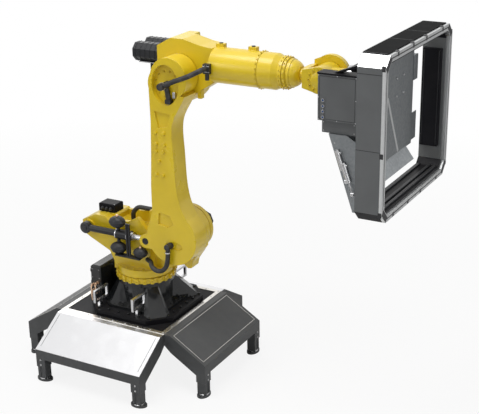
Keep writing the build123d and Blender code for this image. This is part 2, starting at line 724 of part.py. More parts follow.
with BuildPart() as motor_plate:
    with Locations((165, 0, AXIS4_Z + 36 - 66.5 - 6.2)):
        Box(130, 70, 6, align=STAND)
save(motor_plate, "motor_plate")

CONNECTOR_X = 740.0
with BuildPart() as connector:
    with Locations((CONNECTOR_X, -TUBE_R - 16.8, AXIS4_Z - 35)):
        Box(50, 33, 70, align=STAND)
    with BuildSketch(Plane.XY.offset(AXIS4_Z - 80)):
        with Locations((CONNECTOR_X, -TUBE_R - 17)):
            Circle(15)
    extrude(amount=45)
save(connector, "forearm_connector")

with BuildPart() as elbow_hose:
    with BuildSketch(side_view(SWIVEL_Y - 0.3)):
        with Locations((AXIS3_X, AXIS3_Z)):
            Circle(SWIVEL_R)
    extrude(amount=SWIVEL_DEPTH)
    with BuildLine() as route:
        FilletPolyline(
            (AXIS3_X + 12, SWIVEL_Y - 34, AXIS3_Z + 4),
            (AXIS3_X + 90, SWIVEL_Y - 34, AXIS3_Z + 42),
            (AXIS3_X + 215, SWIVEL_Y - 24, AXIS3_Z + 92),
            (CONNECTOR_X, SWIVEL_Y + 10, AXIS4_Z + 6),
            (CONNECTOR_X, -TUBE_R - 33.6, AXIS4_Z + 6),
            radius=40,
        )
    with BuildSketch(Plane(origin=route.line @ 0, z_dir=route.line % 0)):
        Circle(HOSE_R)
    sweep()
save(elbow_hose, "hose_elbow")

# Wrist
ROLL_X = TUBE_END_X + WRIST_GAP
YOKE_X = ROLL_X + 145
with BuildPart() as wrist_roll:
    for start, length, radius in ((0, 20, 111), (20, 26, 100), (100, 70, NECK_R)):
        with BuildSketch(facing(ROLL_X + start)):
            with Locations((0, AXIS4_Z)):
                Circle(radius)
        extrude(amount=length)
    for start, radius in ((46, 96), (76, 84), (104, 54)):
        with BuildSketch(facing(ROLL_X + start)):
            with Locations((0, AXIS4_Z)):
                Circle(radius)
    loft()
    with BuildSketch(Plane.XY.offset(AXIS4_Z - 62)):
        with BuildLine():
            Polyline(
                (YOKE_X - 6, -44),
                (YOKE_X + 26, YOKE_NEAR_Y),
                (YOKE_X + 34, YOKE_NEAR_Y),
                (YOKE_X + 34, YOKE_FAR_Y),
                (YOKE_X + 26, YOKE_FAR_Y),
                (YOKE_X - 6, 44),
                close=True,
            )
        make_face()
    extrude(amount=124)
    for near, radius, root in ((YOKE_NEAR_Y, YOKE_NEAR_R, 62), (YOKE_FAR_Y - YOKE_CHEEK, YOKE_FAR_R, 92)):
        with BuildSketch(side_view(near)):
            with Locations((AXIS5_X, AXIS4_Z)):
                Circle(radius)
            with BuildLine():
                Polyline(
                    (YOKE_X + 14, AXIS4_Z - root),
                    (YOKE_X + 14, AXIS4_Z + root),
                    (AXIS5_X - 40, AXIS4_Z + radius * 0.9),
                    (AXIS5_X - 40, AXIS4_Z - radius * 0.9),
                    close=True,
                )
            make_face()
        extrude(amount=-YOKE_CHEEK)
save(wrist_roll, "wrist_roll")

with BuildPart() as wrist_pitch:
    with BuildSketch(side_view(YOKE_FAR_Y - YOKE_CHEEK - WRIST_GAP)):
        with Locations((AXIS5_X, AXIS4_Z)):
            Circle(PITCH_R)
    extrude(amount=YOKE_FAR_Y - YOKE_NEAR_Y - 2 * YOKE_CHEEK - 2 * WRIST_GAP)
    with BuildSketch(facing(AXIS5_X)):
        with Locations((0, AXIS4_Z)):
            Circle(PITCH_R - 16)
    extrude(amount=FLANGE_REACH - WRIST_GAP)
save(wrist_pitch, "wrist_pitch")

with BuildPart() as flange:
    with BuildSketch(facing(FLANGE_X)):
        with Locations((0, AXIS4_Z)):
            Circle(FLANGE_R)
    extrude(amount=FLANGE_THICK)
save(flange, "tool_flange")

# Gripper frame: two sides, two beams with the cut corners, and an aluminium rim on the front
GRIP_FRONT_X = GRIP_BACK_X + GRIP_DEPTH
GRIP_BODY = GRIP_DEPTH - GRIP_RIM
GRIP_HALF_Z = GRIP_HEIGHT / 2
INNER_Z = GRIP_HALF_Z - GRIP_CHAMFER - 34
for name, sign in (("gripper_side_near", -1), ("gripper_side_far", 1)):
    with BuildPart() as side_piece:
        with BuildSketch(facing(GRIP_BACK_X)):
            with BuildLine():
                Polyline(
                    (sign * GRIP_HALF_Y, GRIP_MIDDLE + GRIP_CHAMFER - GRIP_HALF_Z),
                    (sign * GRIP_HALF_Y, GRIP_MIDDLE + GRIP_HALF_Z - GRIP_CHAMFER),
                    (sign * (GRIP_HALF_Y - GRIP_WALL), GRIP_MIDDLE + INNER_Z),
                    (sign * (GRIP_HALF_Y - GRIP_WALL), GRIP_MIDDLE - INNER_Z),
                    close=True,
                )
            make_face()
        extrude(amount=GRIP_BODY)
    save(side_piece, name)

for name, sign in (("gripper_beam_bottom", -1), ("gripper_beam_top", 1)):
    with BuildPart() as beam:
        with BuildSketch(facing(GRIP_BACK_X)):
            with BuildLine():
                Polyline(
                    (-GRIP_HALF_Y, GRIP_MIDDLE + sign * (GRIP_HALF_Z - GRIP_CHAMFER)),
                    (GRIP_CHAMFER - GRIP_HALF_Y, GRIP_MIDDLE + sign * GRIP_HALF_Z),
                    (GRIP_HALF_Y - GRIP_CHAMFER, GRIP_MIDDLE + sign * GRIP_HALF_Z),
                    (GRIP_HALF_Y, GRIP_MIDDLE + sign * (GRIP_HALF_Z - GRIP_CHAMFER)),
                    (GRIP_HALF_Y - GRIP_WALL, GRIP_MIDDLE + sign * INNER_Z),
                    (GRIP_HALF_Y - GRIP_WALL - 42, GRIP_MIDDLE + sign * (GRIP_HALF_Z - GRIP_WALL)),
                    (42 + GRIP_WALL - GRIP_HALF_Y, GRIP_MIDDLE + sign * (GRIP_HALF_Z - GRIP_WALL)),
                    (GRIP_WALL - GRIP_HALF_Y, GRIP_MIDDLE + sign * INNER_Z),
                    close=True,
                )
            make_face()
        extrude(amount=GRIP_BODY)
    save(beam, name)

RIM_WIDTH = 44.0
with BuildPart() as rim:
    with BuildSketch(facing(GRIP_FRONT_X - GRIP_RIM)):
        with Locations((0, GRIP_MIDDLE)):
            outer = Rectangle(2 * GRIP_HALF_Y, GRIP_HEIGHT)
        chamfer(outer.vertices(), GRIP_CHAMFER)
    extrude(amount=GRIP_RIM)
    with BuildSketch(facing(GRIP_FRONT_X - GRIP_RIM)):
        with Locations((0, GRIP_MIDDLE)):
            inner = Rectangle(2 * (GRIP_HALF_Y - RIM_WIDTH), GRIP_HEIGHT - 2 * RIM_WIDTH)
        chamfer(inner.vertices(), GRIP_CHAMFER - RIM_WIDTH / 2)
    extrude(amount=GRIP_RIM, mode=Mode.SUBTRACT)
save(rim, "gripper_rim")

PANEL_THICK = 6.0
PANEL_SPANS = [(-515, -94), (-86, 184), (192, 515)]
with BuildPart() as top_panels:
    for start, end in PANEL_SPANS:
        with Locations(((GRIP_BACK_X + GRIP_BODY / 2), (start + end) / 2, GRIP_TOP)):
            Box(GRIP_BODY, end - start, PANEL_THICK, align=STAND)
save(top_panels, "gripper_top_panels")

PAD_DEPTH = 38.0
PAD_WIDTH = 128.0
PAD_HEIGHT = 690.0
with BuildPart() as pad:
    with Locations((GRIP_BACK_X + 80, GRIP_HALF_Y - GRIP_WALL - PAD_DEPTH / 2, GRIP_MIDDLE - 330)):
        Box(PAD_WIDTH, PAD_DEPTH, PAD_HEIGHT, align=STAND)
save(pad, "gripper_pad")

PLATE_X = GRIP_BACK_X + 40
PLATE_LOW = GRIP_MIDDLE - 245
PLATE_WIDTH = 550.0
PLATE_MIDDLE_Y = -25.0
FOLD_FAR_Y = 158.0
FOLD_WIDTH = 523.0
with BuildPart() as plate:
    with Locations((PLATE_X + GALV_SHEET / 2, PLATE_MIDDLE_Y, PLATE_LOW)):
        Box(GALV_SHEET, PLATE_WIDTH, GRIP_TOP - GRIP_WALL - PLATE_LOW, align=STAND)
    with BuildSketch(side_view(FOLD_FAR_Y)):
        with BuildLine():
            Polyline(
                (PLATE_X, PLATE_LOW + 4),
                (PLATE_X + GALV_SHEET, PLATE_LOW + 4),
                (PLATE_X + 66, PLATE_LOW - 78),
                (PLATE_X + 60, PLATE_LOW - 82),
                close=True,
            )
        make_face()
    extrude(amount=FOLD_WIDTH)
save(plate, "gripper_plate")

ADAPTER_X = FLANGE_X + FLANGE_THICK
ADAPTER_PLATE = 240.0
ADAPTER_PLATE_THICK = 20.0
ADAPTER_BEAM = 160.0
with BuildPart() as adapter:
    with Locations((ADAPTER_X, 0, AXIS4_Z)):
        Box(ADAPTER_PLATE_THICK, ADAPTER_PLATE, ADAPTER_PLATE, align=(Align.MIN, Align.CENTER, Align.CENTER))
    with Locations((PLATE_X, 0, AXIS4_Z)):
        Box(PLATE_X - ADAPTER_X, ADAPTER_BEAM, ADAPTER_BEAM, align=(Align.MAX, Align.CENTER, Align.CENTER))
save(adapter, "gripper_adapter")

# Control box on two arms beside the adapter, a smaller box under it and a black cover over it
BOX_NEAR_Y = -335.0
BOX_FAR_Y = -245.0
BOX_X = 1678.0
BOX_LENGTH = 272.0
BOX_LOW = AXIS4_Z - 198
BOX_HIGH = AXIS4_Z + 108
BOX_MIDDLE_Y = (BOX_NEAR_Y + BOX_FAR_Y) / 2
SMALL_BOX_LENGTH = 238.0
SMALL_BOX_DEPTH = 70.0
SMALL_BOX_HEIGHT = 84.0
LID_OVERHANG = 8.0
LID_THICK = 10.0
COVER_WIDTH = 60.0
ARM_LEVEL = 60.0
ARM_START_Y = -80.0
with BuildPart() as control:
    with Locations((BOX_X + BOX_LENGTH / 2, BOX_MIDDLE_Y, BOX_LOW)):
        Box(BOX_LENGTH, BOX_FAR_Y - BOX_NEAR_Y, BOX_HIGH - BOX_LOW, align=STAND)
    with Locations((BOX_X + 142, BOX_MIDDLE_Y + 10, BOX_LOW - SMALL_BOX_HEIGHT)):
        Box(SMALL_BOX_LENGTH, SMALL_BOX_DEPTH, SMALL_BOX_HEIGHT, align=STAND)
save(control, "control_box")

with BuildPart() as lid:
    with Locations((BOX_X + BOX_LENGTH / 2, BOX_MIDDLE_Y, BOX_HIGH)):
        Box(BOX_LENGTH + LID_OVERHANG, BOX_FAR_Y - BOX_NEAR_Y + LID_OVERHANG, LID_THICK, align=STAND)
    with BuildSketch(side_view(BOX_FAR_Y - 4)):
        with BuildLine():
            Polyline(
                (BOX_X + 100, BOX_HIGH + LID_THICK),
                (BOX_X + 130, BOX_HIGH + LID_THICK),
                (GRIP_BACK_X, GRIP_TOP - 120),
                (GRIP_BACK_X, GRIP_TOP - 100),
                (GRIP_BACK_X - 24, GRIP_TOP - 100),
                close=True,
            )
        make_face()
    extrude(amount=COVER_WIDTH)
save(lid, "control_lid")

with BuildPart() as arms:
    for level in (-ARM_LEVEL, ARM_LEVEL):
        with Locations((ADAPTER_X + 60, ARM_START_Y, AXIS4_Z + level)):
            Box(50, ARM_START_Y - BOX_FAR_Y, 30, align=(Align.CENTER, Align.MAX, Align.CENTER))
save(arms, "control_arms")

# Galvanised chute behind the frame: a sloped sheet between two cheeks, and its two small cylinders
CHUTE_NEAR_Y = -331.0
CHUTE_FAR_Y = -145.0
CHUTE_HEIGHT = 518.0
CHUTE_TOP = BOX_LOW - SMALL_BOX_HEIGHT
CHUTE_LOW = CHUTE_TOP - CHUTE_HEIGHT
CHUTE_X = BOX_X + 78
CHUTE_TIP_X = CHUTE_X + 177
with BuildPart() as chute:
    with BuildSketch(side_view(CHUTE_FAR_Y)):
        with BuildLine():
            Polyline(
                (CHUTE_X, CHUTE_TOP),
                (CHUTE_X + 7, CHUTE_TOP),
                (CHUTE_TIP_X + 7, CHUTE_LOW),
                (CHUTE_TIP_X, CHUTE_LOW),
                close=True,
            )
        make_face()
    extrude(amount=CHUTE_FAR_Y - CHUTE_NEAR_Y)
    for near in (CHUTE_FAR_Y, CHUTE_NEAR_Y + GALV_SHEET):
        with BuildSketch(side_view(near)):
            with BuildLine():
                Polyline(
                    (CHUTE_X + 3, CHUTE_TOP),
                    (CHUTE_TIP_X + 3, CHUTE_LOW),
                    (CHUTE_TIP_X + 40, CHUTE_LOW),
                    (GRIP_BACK_X, GRIP_MIDDLE - 300),
                    (GRIP_BACK_X, GRIP_MIDDLE - 180),
                    (CHUTE_X + 130, CHUTE_TOP),
                    close=True,
                )
            make_face()
        extrude(amount=GALV_SHEET)
save(chute, "gripper_chute")
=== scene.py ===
"""Looks of the six-axis robot arm on its platform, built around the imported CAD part."""

import logging
import math
from collections.abc import Iterable, Mapping, Sequence
from dataclasses import dataclass
from enum import Enum
from functools import cache

import bmesh
import bpy
import numpy as np
from mathutils import Matrix, Vector

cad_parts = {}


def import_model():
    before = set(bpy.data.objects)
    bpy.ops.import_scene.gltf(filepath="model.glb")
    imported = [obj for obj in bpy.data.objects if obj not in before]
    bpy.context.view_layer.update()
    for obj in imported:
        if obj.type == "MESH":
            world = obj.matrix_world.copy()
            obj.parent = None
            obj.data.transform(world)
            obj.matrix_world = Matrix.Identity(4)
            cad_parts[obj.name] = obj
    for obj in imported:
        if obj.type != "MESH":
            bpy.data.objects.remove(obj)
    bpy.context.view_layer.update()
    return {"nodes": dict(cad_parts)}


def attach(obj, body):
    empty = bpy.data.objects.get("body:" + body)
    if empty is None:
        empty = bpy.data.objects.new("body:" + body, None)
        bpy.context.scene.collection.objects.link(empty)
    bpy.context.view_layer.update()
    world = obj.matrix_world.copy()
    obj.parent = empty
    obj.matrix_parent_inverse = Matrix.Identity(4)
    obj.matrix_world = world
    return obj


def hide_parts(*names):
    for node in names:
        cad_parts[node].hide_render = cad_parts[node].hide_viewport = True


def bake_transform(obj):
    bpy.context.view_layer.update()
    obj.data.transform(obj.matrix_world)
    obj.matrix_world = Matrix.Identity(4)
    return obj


LOG = logging.getLogger("scene")
Point = tuple[float, float, float]
Feed = "Value | bpy.types.NodeSocket | float | Sequence[float]"

# Places of the arm's axes and main planes, in metres in the frame of the CAD part
DECK_HALF_X = 0.475
DECK_HALF_Y = 0.43
DECK_TOP = 0.45
STRIP_TOP = 0.453
AXIS_1 = (0.05, 0.0, 0.745)
AXIS_2 = (0.445, -0.1, 1.145)
AXIS_3 = (0.442, -0.1, 2.31)
TUBE_HEIGHT = 2.44
WRIST_X = 1.58

# Directions in that frame
AHEAD = (1.0, 0.0, 0.0)
BEHIND = (-1.0, 0.0, 0.0)
NEAR = (0.0, -1.0, 0.0)
FAR = (0.0, 1.0, 0.0)
UP = (0.0, 0.0, 1.0)
DOWN = (0.0, 0.0, -1.0)

# How far a bolt's head reaches into what it sits on, in metres
SEAT = 0.0006

# Largest angle in degrees between faces of a piece that are shaded smooth
SMOOTH_ANGLE = 32.0


@dataclass(frozen=True)
class Value:
    """Number that a socket gives. Python arithmetic on it builds Math nodes."""

    graph: "Graph"
    socket: bpy.types.NodeSocket

    def _math(self, operation: str, left: Feed, right: Feed) -> "Value":
        """Join two numbers through one Math node."""
        node = self.graph.node("ShaderNodeMath", {"operation": operation}, {0: left, 1: right})
        return Value(self.graph, node.outputs[0])

    def __add__(self, other: Feed) -> "Value":
        """Sum."""
        return self._math("ADD", self, other)

    def __radd__(self, other: Feed) -> "Value":
        """Sum with the number on the left."""
        return self._math("ADD", other, self)

    def __mul__(self, other: Feed) -> "Value":
        """Product."""
        return self._math("MULTIPLY", self, other)

    def __rmul__(self, other: Feed) -> "Value":
        """Product with the number on the left."""
        return self._math("MULTIPLY", other, self)


class Graph:
    """Node tree of one material, with the few node groups that the finishes share."""

    def __init__(self, name: str) -> None:
        """Start an empty material.

        Args:
            name: Name of the material.
        """
        self.material = bpy.data.materials.new(name)
        self.material.use_nodes = True
        self.tree = self.material.node_tree
        self.tree.nodes.clear()
        coordinates = self.node("ShaderNodeTexCoord")
        self.place = coordinates.outputs["Object"]
        self.facing = coordinates.outputs["Normal"]

    def node(self, kind: str, settings: Mapping[str, object] | None = None,
             sockets: Mapping[int | str, Feed] | None = None) -> bpy.types.Node:
        """Add a node.

        Args:
            kind: Blender's name of the node type.
            settings: Properties of the node, set before its sockets.
            sockets: Values or links of its input sockets.

        Returns:
            The new node.
        """
        made = self.tree.nodes.new(kind)
        for key, value in (settings or {}).items():
            setattr(made, key, value)
        for key, value in (sockets or {}).items():
            self.feed(made.inputs[key], value)
        return made

    def feed(self, socket: bpy.types.NodeSocket, value: Feed) -> None:
        """Link a socket, or set its value.

        Args:
            socket: Input socket of a node.
            value: What goes into it.
        """
        if isinstance(value, Value):
            self.tree.links.new(value.socket, socket)
        elif isinstance(value, bpy.types.NodeSocket):
            self.tree.links.new(value, socket)
        else:
            socket.default_value = value

    def stretched(self, stretch: Point) -> bpy.types.NodeSocket:
        """Scale the object coordinates by a factor for each axis."""
        made = self.node("ShaderNodeVectorMath", {"operation": "MULTIPLY"}, {0: self.place, 1: stretch})
        return made.outputs[0]

    def noise(self, scale: float, detail: float = 3.0, stretch: Point = (1.0, 1.0, 1.0)) -> Value:
        """Make smooth noise between 0 and 1.

        Args:
            scale: Number of waves in a metre.
            detail: Number of finer layers.
            stretch: Factor on each axis, small along a brushed direction.

        Returns:
            The noise.
        """
        sockets = {"Vector": self.stretched(stretch), "Scale": scale, "Detail": detail}
        made = self.node("ShaderNodeTexNoise", {}, sockets)
        return Value(self, made.outputs[0])

    def cells(self, scale: float) -> Value:
        """Give each cell of a Voronoi pattern a grey value of its own.

        Args:
            scale: Number of cells in a metre.

        Returns:
            The grey value, between 0 and 1.
        """
        made = self.node("ShaderNodeTexVoronoi", {}, {"Vector": self.place, "Scale": scale})
        parts = self.node("ShaderNodeSeparateColor", {}, {0: made.outputs["Color"]})
        return Value(self, parts.outputs[0])

    def span(self, value: Value, low: float, high: float) -> Value:
        """Stretch the span from low to high over 0 to 1, and hold it there outside."""
        made = self.node("ShaderNodeMapRange", {"clamp": True}, {0: value, 1: low, 2: high})
        return Value(self, made.outputs[0])

    def upward(self) -> Value:
        """Give the upward part of the surface's own normal."""
        made = self.node("ShaderNodeSeparateXYZ", {}, {0: self.facing})
        return Value(self, made.outputs[2])

    def mix(self, factor: Feed, first: Feed, second: Feed) -> bpy.types.NodeSocket:
        """Blend two colours."""
        made = self.node("ShaderNodeMix", {"data_type": "RGBA"}, {0: factor, 6: first, 7: second})
        return made.outputs[2]

    def relief(self, height: Value, depth: float, rounding: float) -> bpy.types.NodeSocket:
        """Bend the normal by a height field, and over the edges as if they were rounded.

        Args:
            height: Height field between 0 and 1.
            depth: Height in metres that 1 stands for.
            rounding: Radius in metres of the rounded edges.

        Returns:
            The normal.
        """
        edge = self.node("ShaderNodeBevel", {"samples": 4}, {"Radius": rounding})
        sockets = {"Strength": 1.0, "Distance": depth, "Height": height, "Normal": edge.outputs[0]}
        made = self.node("ShaderNodeBump", {}, sockets)
        return made.outputs[0]

    def surface(self, sockets: Mapping[int | str, Feed]) -> bpy.types.Material:
        """Finish the material with one Principled shader.

        Args:
            sockets: Values or links of the shader's sockets.

        Returns:
            The material.
        """
        shader = self.node("ShaderNodeBsdfPrincipled", {}, sockets)
        self.node("ShaderNodeOutputMaterial", {}, {0: shader.outputs[0]})
        return self.material


def rgba(colour: Point) -> tuple[float, float, float, float]:
    """Add the alpha of an opaque colour."""
    return (*colour, 1.0)


@dataclass(frozen=True)
class Paint:
    """Sprayed or powder coated metal with faint dust on what faces upward.

    Attributes:
        colour: Colour of the coat.
        shade: Colour of the coat where it is thinner or dirtier.
        roughness: Mean roughness.
        gloss: Weight of the clear coat.
        grain_scale: Number of bumps in a metre.
        grain_depth: Depth of the bumps in metres.
        dust: Share of dust on level tops.
        shine: Level of the plain reflection under the clear coat.
        ior: Refractive index, low on a coat that stays dark at a flat angle.
        rounding: Radius of the rounded edges in metres.
    """

    colour: Point
    shade: Point
    roughness: float
    gloss: float
    grain_scale: float = 380.0
    grain_depth: float = 0.00006
    dust: float = 0.12
    shine: float = 0.5
    ior: float = 1.45
    rounding: float = 0.003

    def make(self, name: str) -> bpy.types.Material:
        """Build the material.

        Args:
            name: Name of the material.

        Returns:
            The material.
        """
        graph = Graph(name)
        cloud = graph.span(graph.noise(5.5, 5.0), 0.35, 0.75)
        film = graph.span(graph.upward(), 0.45, 1.0) * graph.noise(16.0, 6.0) * self.dust
        coat = graph.mix(cloud * 0.6, rgba(self.colour), rgba(self.shade))
        colour = graph.mix(film, coat, rgba((0.42, 0.4, 0.36)))
        rough = cloud * 0.07 + film * 1.2 + (self.roughness - 0.03)
        return graph.surface({
            "Base Color": colour, "Roughness": rough, "Coat Weight": self.gloss, "Coat Roughness": 0.08,
            "Specular IOR Level": self.shine, "IOR": self.ior,
            "Normal": graph.relief(graph.noise(self.grain_scale, 2.0), self.grain_depth, self.rounding),
        })


@dataclass(frozen=True)
class Metal:
    """Bare metal, brushed along one axis and scratched.

    Attributes:
        colour: Colour of the metal.
        worn: Colour of its scratches and stains.
        roughness: Mean roughness.
        brush: Factor on each axis of the brushed pattern.
        rounding: Radius of the rounded edges in metres.
    """

    colour: Point
    worn: Point
    roughness: float
    brush: Point = (1.0, 1.0, 0.04)
    rounding: float = 0.0015

    def make(self, name: str) -> bpy.types.Material:
        """Build the material.

        Args:
            name: Name of the material.

        Returns:
            The material.
        """
        graph = Graph(name)
        lines = graph.noise(420.0, 3.0, self.brush)
        stain = graph.span(graph.noise(9.0, 6.0), 0.5, 0.72)
        wear = stain * 0.45 + graph.span(lines, 0.6, 0.75) * 0.25
        colour = graph.mix(wear, rgba(self.colour), rgba(self.worn))
        rough = lines * 0.18 + stain * 0.1 + (self.roughness - 0.09)
        return graph.surface({
            "Base Color": colour, "Roughness": rough, "Metallic": 1.0,
            "Normal": graph.relief(lines, 0.00003, self.rounding),
        })


@dataclass(frozen=True)
class Zinc:
    """Galvanised sheet with its spangle.

    Attributes:
        colour: Colour of the bright crystals.
        dark: Colour of the dull crystals.
        spangle: Number of crystals in a metre.
    """

    colour: Point
    dark: Point
    spangle: float = 70.0

    def make(self, name: str) -> bpy.types.Material:
        """Build the material.

        Args:
            name: Name of the material.

        Returns:
            The material.
        """
        graph = Graph(name)
        crystal = graph.cells(self.spangle)
        cloud = graph.noise(7.0, 4.0)
        colour = graph.mix(crystal * 0.45 + cloud * 0.5, rgba(self.colour), rgba(self.dark))
        return graph.surface({
            "Base Color": colour, "Roughness": crystal * 0.08 + cloud * 0.1 + 0.3, "Metallic": 0.85,
            "Normal": graph.relief(crystal, 0.00002, 0.001),
        })


@dataclass(frozen=True)
class Rubber:
    """Matte rubber or plastic with a fine grain.

    Attributes:
        colour: Colour of the rubber.
        roughness: Mean roughness.
        dust: Colour of the dust that clings to it.
    """

    colour: Point
    roughness: float
    dust: Point = (0.11, 0.105, 0.1)

    def make(self, name: str) -> bpy.types.Material:
        """Build the material.

        Args:
            name: Name of the material.

        Returns:
            The material.
        """
        graph = Graph(name)
        cloud = graph.span(graph.noise(24.0, 6.0), 0.45, 0.8)
        grain = graph.noise(700.0, 2.0)
        return graph.surface({
            "Base Color": graph.mix(cloud * 0.5, rgba(self.colour), rgba(self.dust)),
            "Roughness": cloud * 0.12 + grain * 0.08 + (self.roughness - 0.08),
            "Normal": graph.relief(grain, 0.00008, 0.0015),
        })


class Look(Enum):
    """Finishes of the arm, its platform and its gripper."""

    YELLOW = Paint((0.78, 0.57, 0.014), (0.66, 0.465, 0.01), roughness=0.3, gloss=0.3, rounding=0.007)
    CASTING = Paint(
        (0.01, 0.011, 0.012), (0.017, 0.018, 0.019), roughness=0.2, gloss=0.55, grain_scale=160.0,
        grain_depth=0.0002, dust=0.05, shine=0.4, ior=1.3,
    )
    PLATE = Paint(
        (0.01, 0.01, 0.012), (0.018, 0.018, 0.02), roughness=0.3, gloss=0.0, grain_scale=500.0,
        grain_depth=0.00004, dust=0.03, shine=0.4, ior=1.14,
    )
    LINING = Paint(
        (0.009, 0.0095, 0.01), (0.014, 0.0145, 0.015), roughness=0.5, gloss=0.0, grain_scale=900.0,
        grain_depth=0.00005, dust=0.02, shine=0.06, ior=1.14,
    )
    FRAME = Paint(
        (0.062, 0.064, 0.066), (0.084, 0.086, 0.088), roughness=0.42, gloss=0.05, grain_scale=650.0,
        grain_depth=0.00006, dust=0.06, shine=0.35,
    )
    BOX = Paint(
        (0.122, 0.127, 0.129), (0.15, 0.156, 0.16), roughness=0.4, gloss=0.05, grain_scale=650.0,
        grain_depth=0.00004, dust=0.05, shine=0.35,
    )
    MOTOR = Paint(
        (0.014, 0.015, 0.018), (0.026, 0.027, 0.03), roughness=0.42, gloss=0.05, grain_scale=300.0,
        grain_depth=0.0001, dust=0.08, shine=0.35,
    )
    STRIP = Metal((0.72, 0.7, 0.66), (0.36, 0.33, 0.3), roughness=0.3, brush=(0.04, 0.04, 1.0))
    SHEET = Metal((0.72, 0.72, 0.73), (0.64, 0.64, 0.65), roughness=0.34, brush=(0.05, 1.0, 1.0))
    RIM = Metal((0.66, 0.67, 0.67), (0.5, 0.5, 0.51), roughness=0.42, brush=(1.0, 0.05, 0.05))
    STEEL = Metal((0.62, 0.62, 0.63), (0.38, 0.37, 0.36), roughness=0.26)
    BOLT = Metal((0.5, 0.5, 0.51), (0.25, 0.24, 0.23), roughness=0.28, brush=(1.0, 1.0, 1.0), rounding=0.0006)
    BRASS = Metal(
        (0.66, 0.46, 0.32), (0.4, 0.27, 0.18), roughness=0.3, brush=(1.0, 1.0, 1.0), rounding=0.0006,
    )
    GALVANISED = Zinc((0.3, 0.315, 0.325), (0.22, 0.235, 0.245))
    HOSE = Rubber((0.013, 0.013, 0.014), roughness=0.6)
    PLASTIC = Rubber((0.016, 0.016, 0.018), roughness=0.48, dust=(0.035, 0.035, 0.035))
    BLUE = Rubber((0.02, 0.07, 0.22), roughness=0.4, dust=(0.05, 0.1, 0.2))

    def material(self) -> bpy.types.Material:
        """Give the material of this finish, made once."""
        return made_material(self)


@cache
def made_material(look: Look) -> bpy.types.Material:
    """Build the material of one finish."""
    return look.value.make(look.name.lower())


@dataclass(frozen=True)
class Shell:
    """Closed surface as plain arrays.

    Attributes:
        points: Corners, one row each.
        quads: Faces of four corners.
        fans: Faces of three corners.
    """

    points: np.ndarray
    quads: np.ndarray
    fans: np.ndarray


def woven(grid: np.ndarray, ring: bool = False) -> Shell:
    """Skin a grid of points whose columns close round.

    Row i, column j joins its neighbours at i + 1 and j + 1. The ends are closed by fans about their mean
    points, or the last row joins the first when the rows close round as well.

    Args:
        grid: Points by row, column and coordinate.
        ring: True where the rows close round.

    Returns:
        The closed surface.
    """
    rows, columns, _ = grid.shape
    index = np.arange(rows * columns).reshape(rows, columns)
    below = index if ring else index[:-1]
    above = np.roll(index, -1, 0) if ring else index[1:]
    quads = np.stack([below, np.roll(below, -1, 1), np.roll(above, -1, 1), above], -1).reshape(-1, 4)
    points = grid.reshape(-1, 3)
    if ring:
        return Shell(points, quads, np.zeros((0, 3), int))
    middles = np.stack([grid[0].mean(0), grid[-1].mean(0)])
    low = np.stack([np.full(columns, rows * columns), np.roll(index[0], -1), index[0]], -1)
    high = np.stack([np.full(columns, rows * columns + 1), index[-1], np.roll(index[-1], -1)], -1)
    return Shell(np.vstack([points, middles]), quads, np.vstack([low, high]))


def joined(shells: Iterable[Shell]) -> Shell:
    """Put several surfaces into one set of arrays.

    Args:
        shells: The surfaces.

    Returns:
        All of them in one.
    """
    parts = list(shells)
    starts = np.cumsum([0] + [len(part.points) for part in parts[:-1]])
    return Shell(
        np.vstack([part.points for part in parts]),
        np.vstack([part.quads + start for part, start in zip(parts, starts)]),
        np.vstack([part.fans + start for part, start in zip(parts, starts)]),
    )


def turned(profile: Sequence[tuple[float, float]], sides: int, ring: bool = False) -> Shell:
    """Turn a profile round Z: x = r cos a, y = r sin a, z = h for each (r, h).

    Args:
        profile: Radius and height of each ring, from the bottom up.
        sides: Number of points round.
        ring: True where the profile is a closed loop, as on a washer.

    Returns:
        The closed surface.
    """
    angles = np.linspace(0.0, 2.0 * np.pi, sides, endpoint=False)
    radius, height = np.array(profile, float).T
    grid = np.empty((len(profile), sides, 3))
    grid[..., 0] = radius[:, None] * np.cos(angles)
    grid[..., 1] = radius[:, None] * np.sin(angles)
    grid[..., 2] = height[:, None]
    return woven(grid, ring)


def carried(path: Sequence[Point] | np.ndarray, section: np.ndarray, side: Point) -> Shell:
    """Carry a section along a path: point = path + u * across + v * over.

    Across is square to the path and to the side direction; over is square to the path and across.

    Args:
        path: Points of the centre line.
        section: Points u, v of the section, counter-clockwise.
        side: Direction that v follows as nearly as it can.

    Returns:
        The closed surface.
    """
    line = np.array(path, float)
    along = np.gradient(line, axis=0)
    along /= np.linalg.norm(along, axis=1, keepdims=True)
    across = np.cross(np.array(side, float), along)
    across /= np.linalg.norm(across, axis=1, keepdims=True)
    over = np.cross(along, across)
    grid = line[:, None] + section[None, :, :1] * across[:, None] + section[None, :, 1:] * over[:, None]
    return woven(grid)


def oval(radius: float, sides: int, flat: float = 1.0) -> np.ndarray:
    """Give the section u = r cos a, v = f r sin a."""
    angles = np.linspace(0.0, 2.0 * np.pi, sides, endpoint=False)
    return np.stack([radius * np.cos(angles), flat * radius * np.sin(angles)], -1)


def slab(width: float, height: float, bevel: float) -> np.ndarray:
    """Give a rectangular section with bevelled corners, counter-clockwise.

    Args:
        width: Size along u.
        height: Size along v.
        bevel: Size of the cut corners.

    Returns:
        The points u, v.
    """
    x, y, b = width / 2, height / 2, bevel
    right, left = [(x, b - y), (x, y - b), (x - b, y)], [(-x, y - b), (-x, b - y), (b - x, -y)]
    return np.array([*right, (b - x, y), *left, (x - b, -y)])


